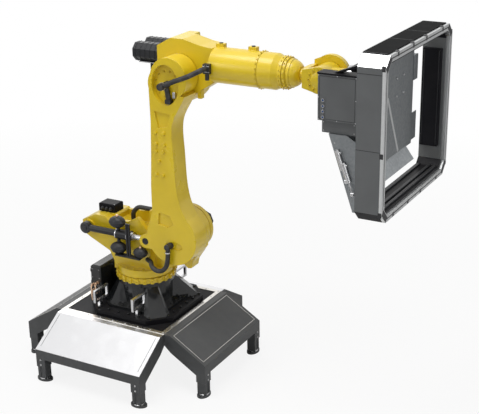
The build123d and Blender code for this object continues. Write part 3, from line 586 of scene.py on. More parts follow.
def block(low: Point, high: Point, bevel: float = 0.001) -> Shell:
    """Make a bar with all its edges bevelled, between two corners.

    The section across X is carried along X, and its two end rows are drawn in by the bevel.

    Args:
        low: Corner with the smallest coordinates.
        high: Corner with the largest.
        bevel: Size of the bevel.

    Returns:
        The closed surface.
    """
    (x0, y0, z0), (x1, y1, z1) = low, high
    middle = np.array([0.0, (y0 + y1) / 2, (z0 + z1) / 2])
    rows = []
    for x, inset in ((x0, bevel), (x0 + bevel, 0.0), (x1 - bevel, 0.0), (x1, bevel)):
        section = slab(y1 - y0 - 2 * inset, z1 - z0 - 2 * inset, bevel)
        rows.append(np.column_stack([np.full(8, x), section]) + middle)
    return woven(np.array(rows))


def stood(shell: Shell, places: Sequence[Point] | np.ndarray, direction: Point, spin: float = 0.0) -> Shell:
    """Copy a surface to several places with its Z along a direction.

    Args:
        shell: Surface around the origin.
        places: Where its origin goes.
        direction: Where its Z goes.
        spin: Turn about its own Z in radians.

    Returns:
        All copies in one surface.
    """
    aim = Vector(UP).rotation_difference(Vector(direction)).to_matrix()
    turn = aim @ Matrix.Rotation(spin, 3, "Z")
    spots = np.array(places, float).reshape(-1, 3)
    points = (shell.points @ np.array(turn).T)[None] + spots[:, None]
    shift = (np.arange(len(spots)) * len(shell.points))[:, None, None]
    quads, fans = shell.quads[None] + shift, shell.fans[None] + shift
    return Shell(points.reshape(-1, 3), quads.reshape(-1, 4), fans.reshape(-1, 3))


def hex_bolt(size: float) -> Shell:
    """Make a hexagon bolt head on its washer, seated at z = 0. Size is the thread's diameter in metres.

    Args:
        size: Diameter of the thread.

    Returns:
        The head and its washer.
    """
    head = turned([(size * 0.9, size * 0.16), (size * 0.9, size * 0.66), (size * 0.78, size * 0.8)], 6)
    washer = turned([(size * 1.05, -SEAT), (size * 1.05, size * 0.16)], 16)
    return joined([washer, head])


def cap_bolt(size: float) -> Shell:
    """Make a socket head bolt with its socket, seated at z = 0. Size is the thread's diameter in metres."""
    return turned([
        (size * 0.8, -SEAT), (size * 0.8, size * 0.85), (size * 0.7, size), (size * 0.42, size),
        (size * 0.42, size * 0.4),
    ], 12)


def button_bolt(size: float) -> Shell:
    """Make a low domed screw, seated at z = 0. Size is the thread's diameter in metres."""
    return turned([
        (size * 0.95, -SEAT), (size * 0.88, size * 0.3), (size * 0.6, size * 0.5), (size * 0.3, size * 0.56),
        (size * 0.28, size * 0.3),
    ], 12)


def circle_of(centre: Point, radius: float, count: int, plane: str, start: float = 0.0) -> np.ndarray:
    """Space points evenly round a circle.

    Args:
        centre: Middle of the circle.
        radius: Its radius.
        count: Number of points.
        plane: The two axes that the circle lies in, such as "xz".
        start: Angle of the first point in radians.

    Returns:
        The points, one row each.
    """
    angles = start + np.linspace(0.0, 2.0 * np.pi, count, endpoint=False)
    points = np.tile(np.array(centre, float), (count, 1))
    points[:, "xyz".index(plane[0])] += radius * np.cos(angles)
    points[:, "xyz".index(plane[1])] += radius * np.sin(angles)
    return points


def band(inner: float, outer: float, height: float, sides: int, low: float = 0.0) -> Shell:
    """Make a flat ring round Z from its inner and outer radius, its bottom and its top."""
    return turned([(inner, low), (outer, low), (outer, height), (inner, height)], sides, ring=True)


def spoked(centre: Point, radius: float, count: int, plane: str, size: float,
           start: float = 0.0) -> list[Shell]:
    """Put bolts round a circle, each with its head outward along its own radius.

    Args:
        centre: Middle of the circle.
        radius: Radius that the heads are seated at.
        count: Number of bolts.
        plane: The two axes that the circle lies in.
        size: Diameter of the thread in metres.
        start: Angle of the first bolt in radians.

    Returns:
        The bolts.
    """
    places = circle_of(centre, radius, count, plane, start)
    return [stood(cap_bolt(size), [tuple(p)], tuple(p - np.array(centre))) for p in places]


def row_of(start: Point, end: Point, count: int) -> np.ndarray:
    """Space points evenly from one point to another."""
    return np.linspace(np.array(start, float), np.array(end, float), count)


def formed(name: str, shell: Shell, look: Look, smooth: float) -> bpy.types.Object:
    """Make an object of a closed surface, with its faces outward and its finish on.

    Args:
        name: Name of the object.
        shell: Its surface.
        look: Its finish.
        smooth: Largest angle in degrees between faces that are shaded smooth.

    Returns:
        The object.
    """
    mesh = bpy.data.meshes.new(name)
    mesh.from_pydata(shell.points.tolist(), [], shell.quads.tolist() + shell.fans.tolist())
    shaped = bmesh.new()
    shaped.from_mesh(mesh)
    bmesh.ops.recalc_face_normals(shaped, faces=shaped.faces)
    shaped.to_mesh(mesh)
    shaped.free()
    mesh.shade_smooth()
    mesh.set_sharp_from_angle(angle=math.radians(smooth))
    mesh.materials.append(look.material())
    piece = bpy.data.objects.new(name, mesh)
    bpy.context.collection.objects.link(piece)
    return piece


class Assembly:
    """Sub-assembly that rides on one body: it dresses the body's nodes and adds its own pieces."""

    body = "platform"
    dress: Mapping[str, Look] = {}

    def dress_nodes(self, nodes: Mapping[str, bpy.types.Object]) -> None:
        """Put the finishes on the nodes of this sub-assembly.

        Args:
            nodes: CAD nodes by name.
        """
        for name, look in self.dress.items():
            materials = nodes[name].data.materials
            materials.clear()
            materials.append(look.material())

    def add(self, name: str, shells: Iterable[Shell], look: Look, slot: str) -> None:
        """Make one piece from its surfaces and let it ride on the body.

        Args:
            name: Name of the piece.
            shells: Its closed surfaces.
            look: Its finish.
            slot: Material slot of the record for the piece; not used.
        """
        piece = formed(name, joined(shells), look, SMOOTH_ANGLE)
        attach(piece, self.body)
        LOG.info("%s: %d faces", name, len(piece.data.polygons))

    def build(self) -> None:
        """Add the pieces of this sub-assembly."""


class Side(Enum):
    """The four wings, each with its outward direction, the deck's reach to it and half its width."""

    FRONT = ((0.0, -1.0), DECK_HALF_Y, DECK_HALF_X)
    RIGHT = ((1.0, 0.0), DECK_HALF_X, DECK_HALF_Y)
    BACK = ((0.0, 1.0), DECK_HALF_Y, DECK_HALF_X)
    LEFT = ((-1.0, 0.0), DECK_HALF_X, DECK_HALF_Y)

    def out(self) -> Point:
        """Give the outward direction."""
        return (*self.value[0], 0.0)

    def half_width(self) -> float:
        """Give half the width of the wing."""
        return self.value[2]

    def dark(self) -> bool:
        """Tell whether the wing has a dark panel."""
        return self in (Side.LEFT, Side.RIGHT)

    def place(self, across: float, away: float, height: float) -> Point:
        """Give the point at a distance across the wing, away from the deck's edge and above the floor."""
        (x, y), reach, _ = self.value
        return (x * (reach + away) - y * across, y * (reach + away) + x * across, height)


@dataclass(frozen=True)
class WingSizes:
    """Sizes of a wing in metres.

    Attributes:
        run: Distance from the deck's edge to the wing's outer face.
        flat: Width of the level part next to the deck.
        drop: Height that the panel falls by.
        leg: Width of a leg.
        seam_inset: Distance of a seam from the panel's edge.
        seam_width: Width of a seam.
    """

    run: float = 0.35
    flat: float = 0.052
    drop: float = 0.184
    leg: float = 0.08
    seam_inset: float = 0.03
    seam_width: float = 0.003

    def top(self, away: float) -> float:
        """Give the height of the panel at a distance from the deck's edge."""
        return DECK_TOP - self.drop * max(0.0, away - self.flat) / (self.run - self.flat)


@dataclass(frozen=True)
class Platform(Assembly):
    """Deck with its strips, four wings and eight legs.

    Attributes:
        wing: Sizes of a wing.
        strip_inset: Distance of a strip's screws from the deck's edge.
        bolt: Thread of the screws and of the legs' bolts.
        leg_bolts_z: Heights of the two bolts on a leg.
        plate_top: Top of a foot plate.
    """

    body = "platform"
    dress = {
        "deck": Look.PLATE, "deck_strips": Look.STRIP, "wing_panel_front": Look.SHEET,
        "wing_panel_back": Look.SHEET, "wing_panel_right": Look.FRAME, "wing_panel_left": Look.FRAME,
        "wing_frame_front": Look.FRAME, "wing_frame_right": Look.FRAME, "wing_frame_back": Look.FRAME,
        "wing_frame_left": Look.FRAME, "feet_front": Look.FRAME, "feet_right": Look.FRAME,
        "feet_back": Look.FRAME, "feet_left": Look.FRAME,
    }
    wing: WingSizes = WingSizes()
    strip_inset: float = 0.017
    bolt: float = 0.007
    leg_bolts_z: tuple[float, float] = (0.137, 0.179)
    plate_top: float = 0.014

    def strip_bolts(self) -> Shell:
        """Place a row of domed screws along each of the four strips.

        Returns:
            The screws.
        """
        x, y = DECK_HALF_X - self.strip_inset, DECK_HALF_Y - self.strip_inset
        rows = [row_of((-x, side * y, STRIP_TOP), (x, side * y, STRIP_TOP), 9) for side in (-1, 1)]
        rows += [row_of((side * x, -y, STRIP_TOP), (side * x, y, STRIP_TOP), 8)[1:-1] for side in (-1, 1)]
        return stood(button_bolt(self.bolt), np.vstack(rows), UP)

    def seams(self, side: Side) -> list[Shell]:
        """Run a thin seam along the four edges of a dark panel, or down the two slopes of a bright one.

        Args:
            side: The wing.

        Returns:
            The seams.
        """
        wing = self.wing
        half = side.half_width() - wing.seam_inset
        near, far = wing.flat + wing.seam_inset / 2, wing.run - wing.seam_inset
        section = slab(wing.seam_width, 0.002, 0.0004)
        lines = [((a, near), (a, far)) for a in (-half, half)]
        if side.dark():
            lines += [((-half, d), (half, d)) for d in (near, far)]
        slope = wing.drop / (wing.run - wing.flat)
        normal = tuple(np.array(side.out()) * slope + np.array(UP))
        return [
            carried([side.place(a, d, wing.top(d)), side.place(b, e, wing.top(e))], section, normal)
            for (a, d), (b, e) in lines
        ]

    def leg_bolts(self, side: Side) -> Shell:
        """Put two washered bolts on the outer face of each leg.

        Args:
            side: The wing.

        Returns:
            The bolts.
        """
        middle = side.half_width() - self.wing.leg / 2
        places = [side.place(a, self.wing.run, h) for a in (-middle, middle) for h in self.leg_bolts_z]
        return stood(hex_bolt(self.bolt), places, side.out())

    def jacks(self, side: Side) -> Shell:
        """Put a collar round the foot of each leg, on its foot plate.

        Args:
            side: The wing.

        Returns:
            The collars.
        """
        middle = side.half_width() - self.wing.leg / 2
        away = self.wing.run - self.wing.leg / 2
        places = [side.place(a, away, self.plate_top) for a in (-middle, middle)]
        collar = turned([(0.0415, -0.001), (0.0415, 0.006), (0.039, 0.008)], 24)
        return stood(collar, places, UP)

    def build(self) -> None:
        """Add screws, seams, leg bolts and collars."""
        self.add("deck_strip_screws", [self.strip_bolts()], Look.BOLT, "steel")
        for side in Side:
            name = side.name.lower()
            finish = (Look.STRIP, "bright_strip") if side.dark() else (Look.FRAME, "grey_frame")
            self.add(f"wing_seams_{name}", self.seams(side), *finish)
            self.add(f"leg_bolts_{name}", [self.leg_bolts(side)], Look.BOLT, "steel")
            self.add(f"foot_collars_{name}", [self.jacks(side)], Look.STEEL, "steel")


@dataclass(frozen=True)
class Base(Assembly):
    """Footplate, casting, bearing ring and rear connection housing.

    Attributes:
        bolt_rows: Distance from axis 1, height, half length and number of bolts of the rows on each side,
            first on the footplate and then on the casting's flange.
        teeth: Number of teeth on the bearing ring.
        teeth_radius: Radius of their outer faces.
        teeth_z: Height of their middle.
        rear: Place of the housing's rear face along X.
        near_y: Place of its near face along Y.
    """

    body = "platform"
    dress = {
        "base_footplate": Look.PLATE, "base_casting": Look.CASTING, "base_connections": Look.CASTING,
        "bearing_ring": Look.YELLOW, "fork_rings_near": Look.STEEL, "fork_rings_far": Look.STEEL,
    }
    bolt_rows: tuple[tuple[float, float, float, int], ...] = (
        (0.335, 0.49, 0.23, 6), (0.262, 0.514, 0.06, 3),
    )
    teeth: int = 24
    teeth_radius: float = 0.2326
    teeth_z: float = 0.72
    rear: float = -0.34
    near_y: float = -0.2

    def plate_bolts(self) -> list[Shell]:
        """Bolt the footplate to the deck and the casting to the footplate, a row on each side.

        Returns:
            The bolts of the footplate and those of the flange.
        """
        x, y, _ = AXIS_1
        shells = []
        for radius, top, reach, count in self.bolt_rows:
            rows = []
            for out in (-radius, radius):
                rows.append(row_of((x - reach, y + out, top), (x + reach, y + out, top), count))
                rows.append(row_of((x + out, y - reach, top), (x + out, y + reach, top), count))
            shells.append(stood(cap_bolt(0.012), np.vstack(rows), UP))
        return shells

    def plugs(self) -> Shell:
        """Fit eight round plugs to the housing's rear.

        Returns:
            The plugs.
        """
        plug = turned([
            (0.026, -0.001), (0.026, 0.006), (0.021, 0.008), (0.021, 0.034), (0.023, 0.036), (0.023, 0.05),
            (0.019, 0.053),
        ], 28)
        places = [(self.rear, y, z) for y in (-0.12, -0.04, 0.04, 0.12) for z in (0.59, 0.69)]
        return stood(plug, places, BEHIND)

    def fittings(self) -> list[Shell]:
        """Screw four nuts to the housing's near side, each with a pipe that bends down.

        Returns:
            The nuts, and one surface for each pipe.
        """
        nut = turned([
            (0.013, -0.001), (0.013, 0.012), (0.009, 0.013), (0.009, 0.024), (0.012, 0.025), (0.012, 0.036),
        ], 6)
        spots = ((-0.315, 0.56), (-0.275, 0.56), (-0.315, 0.61), (-0.275, 0.63))
        places = [(x, self.near_y, z) for x, z in spots]
        bend = np.array([
            (0.0, -0.03, 0.0), (0.004, -0.05, -0.004), (0.014, -0.058, -0.03), (0.02, -0.06, -0.062),
        ])
        pipes = [carried(bend + place, oval(0.0055, 10), (1.0, 0.0, 0.2)) for place in places]
        return [stood(nut, places, NEAR), *pipes]

    def build(self) -> None:
        """Add bolts, plugs, fittings and a cover with its screws."""
        x, y, _ = AXIS_1
        self.add("base_bolts", self.plate_bolts(), Look.CASTING, "black_casting")
        ring = spoked((x, y, self.teeth_z), self.teeth_radius, self.teeth, "xy", 0.0065)
        self.add("bearing_ring_bolts", ring, Look.YELLOW, "yellow_paint")
        self.add("rear_plugs", [self.plugs()], Look.MOTOR, "black_plate")
        self.add("side_fittings", self.fittings(), Look.BRASS, "steel")
        cover_y = self.near_y - 0.0035
        cover = [block((-0.331, cover_y, 0.66), (-0.254, self.near_y + 0.001, 0.745), 0.002)]
        self.add("side_cover", cover, Look.PLASTIC, "black_plate")
        corners = [(x, cover_y, z) for x in (-0.324, -0.261) for z in (0.667, 0.738)]
        self.add("side_cover_screws", [stood(button_bolt(0.004), corners, NEAR)], Look.BOLT, "steel")


@dataclass(frozen=True)
class Column(Assembly):
    """Column casting with the gear and motor of axis 2.

    Attributes:
        gear_far_y: Place of the gear's far face along Y.
        gear_ring: Radius of the gear's bolts.
        hub_far_y: Place of its hub's far face along Y.
        hub_ring: Radius of the hub's bolts.
        motor_drop: Distance of the motor's middle below axis 2.
        motor_ribs: Places of the first and last rib of the motor along Y.
        lid_z: Top of the junction box.
        foot_ring: Height and radius of the bolts round the column's foot.
        foot_clear: Range of Y in which the column's walls leave no room for a bolt.
    """

    body = "column"
    dress = {
        "column_casting": Look.YELLOW, "axis2_gear": Look.YELLOW, "axis2_motor": Look.MOTOR,
        "junction_box": Look.PLATE, "rear_pivot": Look.YELLOW, "hose_trough": Look.HOSE,
    }
    gear_far_y: float = 0.084
    gear_ring: float = 0.154
    hub_far_y: float = 0.15
    hub_ring: float = 0.115
    motor_drop: float = 0.015
    motor_ribs: tuple[float, float] = (0.165, 0.245)
    lid_z: float = 1.246
    foot_ring: tuple[float, float] = (0.805, 0.199)
    foot_clear: tuple[float, float] = (-0.155, 0.145)

    def build(self) -> None:
        """Add bolts, motor ribs, screws and glands."""
        x, _, z = AXIS_2
        rings = [
            stood(cap_bolt(0.012), circle_of((x, self.gear_far_y, z), self.gear_ring, 20, "xz"), FAR),
            stood(cap_bolt(0.009), circle_of((x, self.hub_far_y, z), self.hub_ring, 12, "xz", 0.2), FAR),
        ]
        self.add("axis2_bolts", rings, Look.YELLOW, "yellow_paint")
        first, last = ((x, y, z - self.motor_drop) for y in self.motor_ribs)
        ribs = [stood(band(0.072, 0.0825, 0.004, 8), row_of(first, last, 8), FAR)]
        self.add("axis2_motor_ribs", ribs, Look.MOTOR, "black_plate")
        lid = [(a, b, self.lid_z) for a in (-0.317, -0.187) for b in (-0.047, 0.047)]
        self.add("junction_box_screws", [stood(button_bolt(0.005), lid, UP)], Look.BOLT, "steel")
        gland = turned([(0.013, -0.001), (0.013, 0.008), (0.0095, 0.01), (0.0095, 0.02), (0.007, 0.022)], 12)
        glands = row_of((-0.29, -0.057, 1.21), (-0.214, -0.057, 1.21), 3)
        self.add("junction_box_glands", [stood(gland, glands, NEAR)], Look.PLASTIC, "black_plate")
        height, radius = self.foot_ring
        foot = circle_of((AXIS_1[0], AXIS_1[1], height), radius, 16, "xy", 0.1)
        low, high = self.foot_clear
        clear = foot[(foot[:, 1] > high) | (foot[:, 1] < low)]
        self.add("column_foot_bolts", [stood(cap_bolt(0.01), clear, UP)], Look.YELLOW, "yellow_paint")


@dataclass(frozen=True)
class Counterbalance(Assembly):
    """Cylinder, rod and gas accumulators.

    Attributes:
        line_y: Place of the cylinder's centre line along Y.
        line_z: Height of the centre line.
        eye_x: Place of the rear pivot along X.
        bands_x: Places of the bands along X.
        balls: Middle and half size of each accumulator, those with a valve first and last.
    """

    body = "counterbalance"
    dress = {
        "balance_cylinder": Look.MOTOR, "balance_rod": Look.STEEL, "balance_accumulators": Look.MOTOR,
        "balance_pipes": Look.MOTOR,
    }
    line_y: float = -0.19
    line_z: float = 1.08
    eye_x: float = -0.362
    bands_x: tuple[float, ...] = (-0.073, 0.03, 0.049)
    balls: tuple[tuple[Point, Point], ...] = (
        ((-0.05, -0.212, 1.186), (0.067, 0.054, 0.046)), ((-0.05, -0.212, 0.974), (0.067, 0.054, 0.046)),
        ((0.15, -0.212, 0.969), (0.058, 0.0475, 0.041)),
    )

    def jacket(self, place: Point, half: Point) -> Shell:
        """Wrap an accumulator in an oval shell with a weld seam round its middle.

        The profile is r = cos b, h = sin b, raised by 0.03 where |b| < 0.09, and each axis is then scaled.

        Args:
            place: Middle of the accumulator.
            half: Half its size on each axis.

        Returns:
            The closed surface.
        """
        tilt = np.concatenate([np.linspace(-1.5, -0.1, 9), [-0.085, 0.0, 0.085], np.linspace(0.1, 1.5, 9)])
        radius = np.cos(tilt) + 0.03 * (np.abs(tilt) < 0.09)
        ball = turned(list(zip(radius, np.sin(tilt))), 36)
        return Shell(ball.points * np.array(half) + np.array(place), ball.quads, ball.fans)

    def build(self) -> None:
        """Add the pivot cap, the cylinder's bands, the accumulators' jackets and two valves."""
        cap = turned([
            (0.043, -0.0005), (0.043, 0.005), (0.038, 0.008), (0.021, 0.008), (0.021, 0.013), (0.017, 0.015),
        ], 36)
        face = (self.eye_x, self.line_y - 0.018, self.line_z)
        self.add("pivot_cap", [stood(cap, [face], NEAR)], Look.PLASTIC, "black_plate")
        places = [(x, self.line_y, self.line_z) for x in self.bands_x]
        bands = [stood(band(0.037, 0.0405, 0.007, 32), places, AHEAD)]
        self.add("cylinder_bands", bands, Look.STEEL, "steel")
        jackets = [self.jacket(place, half) for place, half in self.balls]
        self.add("accumulator_jackets", jackets, Look.MOTOR, "black_plate")
        valve = turned([(0.0115, -0.001), (0.0115, 0.006), (0.008, 0.008), (0.008, 0.014)], 12)
        tops = [(x, y, z + half[2] - 0.001) for (x, y, z), half in self.balls[::2]]
        self.add("accumulator_valves", [stood(valve, tops, UP)], Look.BRASS, "steel")


@dataclass(frozen=True)
class Link(Assembly):
    """Link arm between axis 2 and axis 3.

    Attributes:
        ear: Middle of the rod's pin on the ear's near face.
        gland: Middle of the foot hose's gland.
        clamp: Middle of the clamp on the foot hose.
        recess_floor_y: Place of the head's recess floor along Y.
        recess_ring: Radius of the bolts in the recess.
    """

    body = "link"
    dress = {"link_arm": Look.YELLOW, "hose_riser": Look.HOSE, "hose_foot": Look.HOSE}
    ear: Point = (0.212, -0.23, 1.08)
    gland: Point = (0.432, -0.218, 1.085)
    clamp: Point = (0.43, -0.262, 1.046)
    recess_floor_y: float = -0.194
    recess_ring: float = 0.094

    def build(self) -> None:
        """Add the rod's pin, the recess's bolts and fitting, and the foot hose's clamp and gland."""
        pin = turned([(0.026, -0.0005), (0.026, 0.003), (0.019, 0.004), (0.017, 0.0015)], 28)
        self.add("rod_pin", [stood(pin, [self.ear], NEAR)], Look.MOTOR, "black_plate")
        x, _, z = AXIS_3
        rim = circle_of((x, self.recess_floor_y, z), self.recess_ring, 12, "xz", 0.26)
        rim = rim[(abs(rim[:, 0] - x - 0.02) > 0.035) | (rim[:, 2] > z)]
        self.add("elbow_bolts", [stood(cap_bolt(0.008), rim, NEAR)], Look.YELLOW, "yellow_paint")
        fitting = [block((x + 0.048, -0.215, z - 0.094), (x + 0.074, -0.1935, z - 0.05), 0.003)]
        self.add("recess_fitting", fitting, Look.STEEL, "steel")
        clamp = [stood(band(0.0178, 0.0215, 0.009, 24), [self.clamp], DOWN)]
        self.add("foot_hose_clamp", clamp, Look.STEEL, "steel")
        gland = turned([
            (0.024, -0.001), (0.024, 0.018), (0.0215, 0.02), (0.0215, 0.026), (0.024, 0.028), (0.024, 0.06),
            (0.02, 0.066),
        ], 32)
        self.add("foot_hose_gland", [stood(gland, [self.gland], NEAR)], Look.HOSE, "black_rubber")


@dataclass(frozen=True)
class Forearm(Assembly):
    """Housing, tube, motors and the elbow's hose.

    Attributes:
        motors: Place along Y, rise above the tube's axis, radius and rear end along X of each motor.
        motors_front: Place of each motor's last rib along X.
        tube_rings: Place along X, radius and number of the bolts round the tube's rib and its end flange.
        lugs: Places along X and tops of the lugs.
    """

    body = "forearm"
    dress = {
        "forearm_housing": Look.YELLOW, "forearm_tube": Look.YELLOW, "forearm_motors": Look.MOTOR,
        "motor_plate": Look.STEEL, "forearm_connector": Look.PLASTIC, "hose_elbow": Look.HOSE,
    }
    motors: tuple[tuple[float, float, float, float], ...] = (
        (0.009, 0.036, 0.072, 0.062), (0.14, 0.055, 0.062, 0.074), (0.14, -0.095, 0.054, 0.116),
    )
    motors_front: float = 0.25
    tube_rings: tuple[tuple[float, float, int], ...] = ((1.108, 0.1305, 24), (1.28, 0.1125, 20))
    lugs: tuple[tuple[float, float], ...] = ((0.45, 2.596), (0.768, 2.592), (1.025, 2.592))

    def motor_ribs(self) -> list[Shell]:
        """Ring each motor with ribs and close it with an end cap.

        Returns:
            The ribs and the caps.
        """
        turn = math.radians(22.5)
        shells = []
        for y, rise, radius, end in self.motors:
            height = TUBE_HEIGHT + rise
            places = row_of((end + 0.02, y, height), (self.motors_front, y, height), 5)
            shells.append(stood(band(radius - 0.008, radius + 0.0025, 0.004, 8), places, AHEAD, turn))
            cap = turned([(radius * 0.8, -0.0005), (radius * 0.8, 0.004), (radius * 0.7, 0.008)], 8)
            shells.append(stood(cap, [(end, y, height)], BEHIND, turn))
        return shells

    def build(self) -> None:
        """Add ribs, bolts, the swivel's ring, the connector's lever and the lugs' plugs."""
        self.add("motor_ribs", self.motor_ribs(), Look.MOTOR, "black_plate")
        tube = []
        for x, radius, count in self.tube_rings:
            tube += spoked((x, 0.0, TUBE_HEIGHT), radius, count, "yz", 0.006)
        self.add("tube_bolts", tube, Look.YELLOW, "yellow_paint")
        x, _, z = AXIS_3
        hub = circle_of((x, 0.13, z), 0.15, 18, "xz", 0.2)
        hub = hub[hub[:, 2] < 2.27]
        self.add("hub_bolts", [stood(cap_bolt(0.01), hub, FAR)], Look.YELLOW, "yellow_paint")
        ring = [stood(band(0.0255, 0.0285, 0.012, 28), [(x, -0.256, z)], NEAR)]
        self.add("swivel_ring", ring, Look.STEEL, "steel")
        bars = [block((0.713, -0.1622, low), (0.767, -0.1585, low + 0.005), 0.0008) for low in (2.418, 2.458)]
        self.add("connector_lever", bars, Look.STEEL, "steel")
        plug = turned([(0.014, -0.001), (0.014, 0.005), (0.008, 0.006)], 16)
        tops = [(x, 0.015, top) for x, top in self.lugs]
        self.add("lug_plugs", [stood(plug, tops, UP)], Look.PLASTIC, "black_plate")


@dataclass(frozen=True)
class Wrist(Assembly):
    """Roll piece with its two cheeks.

    Attributes:
        flange_x: Place of the roll flange's bolts along X.
        cheek_y: Distance of each cheek's outer face from the arm's middle.
    """

    body = "wrist_roll"
    dress = {"wrist_roll": Look.YELLOW}
    flange_x: float = 1.309
    cheek_y: float = 0.118

    def build(self) -> None:
        """Add bolts on the roll flange, and bolts and a cover on each cheek."""
        near, far = (WRIST_X, -self.cheek_y, TUBE_HEIGHT), (WRIST_X, self.cheek_y, TUBE_HEIGHT)
        bolts = spoked((self.flange_x, 0.0, TUBE_HEIGHT), 0.1105, 20, "yz", 0.006, 0.15)
        bolts.append(stood(cap_bolt(0.008), circle_of(near, 0.074, 12, "xz"), NEAR))
        bolts.append(stood(cap_bolt(0.008), circle_of(far, 0.115, 18, "xz"), FAR))
        self.add("wrist_bolts", bolts, Look.YELLOW, "yellow_paint")
        covers = [
            stood(turned([(0.055, -0.001), (0.055, 0.004), (0.05, 0.006)], 36), [near], NEAR),
            stood(turned([(0.09, -0.001), (0.09, 0.005), (0.084, 0.008)], 40), [far], FAR),
        ]
        self.add("wrist_covers", covers, Look.YELLOW, "yellow_paint")


@dataclass(frozen=True)
class Pitch(Assembly):
    """Pitch piece of the wrist.

    Attributes:
        edge: Place along X and radius of the bolts round its front edge.
    """

    body = "wrist_pitch"
    dress = {"wrist_pitch": Look.YELLOW}
    edge: tuple[float, float] = (1.725, 0.0718)

    def build(self) -> None:
        """Add the bolts round its front edge."""
        x, radius = self.edge
        bolts = spoked((x, 0.0, TUBE_HEIGHT), radius, 14, "yz", 0.006)
        self.add("pitch_bolts", bolts, Look.YELLOW, "yellow_paint")


@dataclass(frozen=True)
class Gripper(Assembly):
    """Frame gripper with its rim, plates and adapter.

    Attributes:
        back_x: Place of the frame's back along X.
        front_x: Place of the rim's front along X.
        half_y: Half the frame's width.
        low: Bottom of the frame.
        high: Top of the frame.
        chamfer: Size of the cut corners.
        rim: Width of the rim's profile.
        plate_x: Front of the inner plate along X.
        adapter_ring: Place along X and radius of the bolts round the adapter.
    """

    body = "gripper"
    dress = {
        "tool_flange": Look.STEEL, "gripper_side_near": Look.BOX, "gripper_side_far": Look.BOX,
        "gripper_beam_top": Look.PLATE, "gripper_beam_bottom": Look.PLATE, "gripper_rim": Look.RIM,
        "gripper_top_panels": Look.LINING, "gripper_pad": Look.PLATE, "gripper_plate": Look.GALVANISED,
        "gripper_adapter": Look.PLATE, "control_box": Look.BOX, "control_lid": Look.PLATE,
        "control_arms": Look.PLATE, "gripper_chute": Look.GALVANISED,
    }
    back_x: float = 2.06
    front_x: float = 2.245
    half_y: float = 0.6
    low: float = 1.69
    high: float = 2.76
    chamfer: float = 0.07
    rim: float = 0.044
    plate_x: float = 2.106
    adapter_ring: tuple[float, float] = (1.785, 0.0975)

    def grooves(self) -> list[Shell]:
        """Lay the dark slot cover of the profile along the rim's four sides.

        Returns:
            The four slot covers.
        """
        x = self.front_x - 0.00095
        inset = self.rim / 2
        y, z0, z1 = self.half_y - inset, self.low + inset, self.high - inset
        reach = self.half_y - self.chamfer - 0.01
        lines = [((x, -reach, z), (x, reach, z)) for z in (z0, z1)]
        ends = (self.low + self.chamfer + 0.01, self.high - self.chamfer - 0.01)
        lines += [((x, side * y, ends[0]), (x, side * y, ends[1])) for side in (-1, 1)]
        return [carried(line, slab(0.009, 0.0024, 0.0006), AHEAD) for line in lines]

    def straps(self) -> list[Shell]:
        """Clip four black straps over the top and four over the bottom, each with a tab on the rim's face.

        Returns:
            The straps and tabs.
        """
        front, low, high = self.front_x, self.low, self.high
        back = front - 0.034
        shells = []
        for y in (-0.142, 0.092, 0.40, -0.40):
            y0, y1 = y - 0.016, y + 0.016
            shells.append(block((back, y0, high - 0.006), (front - 0.001, y1, high + 0.0055), 0.002))
            shells.append(block((back, y0, low - 0.0009), (front - 0.001, y1, low + 0.004), 0.0008))
            for z0, z1 in ((high - 0.03, high - 0.001), (low + 0.001, low + 0.03)):
                shells.append(block((front - 0.003, y - 0.014, z0), (front + 0.0002, y + 0.014, z1), 0.0004))
        return shells

    def edge_caps(self) -> list[Shell]:
        """Cap the rim's four cut corners, and clip three dark pieces over each of its upright edges.

        A corner cap runs along the middle of the corner's bar, which lies rim / (2 sqrt 2) inside both edges.

        Returns:
            The caps and clips.
        """
        front = self.front_x
        corner, inset = self.half_y - self.chamfer, self.rim * math.sqrt(0.125)
        section = slab(self.rim - 0.002, 0.0012, 0.0003)
        shells = []
        for side in (-1, 1):
            for z, up in ((self.high, -1), (self.low, 1)):
                ends = [
                    (front - 0.0004, side * (self.half_y - inset), z + up * (self.chamfer + inset)),
                    (front - 0.0004, side * (corner - inset), z + up * inset),
                ]
                shells.append(carried(ends, section, AHEAD))
            edge = side * self.half_y
            y0, y1 = sorted((edge + side * 0.0008, edge - side * 0.006))
            for z in (2.145, self.high - self.chamfer, self.low + self.chamfer):
                shells.append(block((front - 0.026, y0, z - 0.017), (front - 0.001, y1, z + 0.017), 0.0008))
        return shells

    def seams(self) -> list[Shell]:
        """Lay two joint strips across the outer face of each side plate.

        Returns:
            The four strips.
        """
        x0, x1 = self.back_x + 0.001, self.front_x - 0.021
        shells = []
        for z in (2.65, 2.168):
            for side in (-1.0, 1.0):
                ends = [(x, side * self.half_y, z) for x in (x0, x1)]
                shells.append(carried(ends, slab(0.004, 0.0016, 0.0004), (0.0, side, 0.0)))
        return shells

    def corner_plate(self) -> Shell:
        """Cover the near upper corner facet with a bright plate, a painted highlight where that facet faces
        the light: a slab carried across the facet's middle.

        Returns:
            The plate.
        """
        y, z = self.half_y - self.chamfer / 2, self.high - self.chamfer / 2
        wide = self.chamfer * math.sqrt(2.0) - 0.003
        ends = [(self.back_x + 0.002, -y, z), (self.front_x - 0.022, -y, z)]
        return carried(ends, slab(wide, 0.0016, 0.0004), (0.0, -1.0, 1.0))

    def top_flanges(self) -> list[Shell]:
        """Turn up a low flange at each joint of the top panels.

        Returns:
            The flanges.
        """
        x0, x1 = self.back_x + 0.002, self.front_x - 0.021
        z0, z1 = self.high - 0.001, self.high + 0.0058
        return [block((x0, y - 0.004, z0), (x1, y + 0.004, z1), 0.0012) for y in (-0.52, -0.09, 0.188, 0.52)]

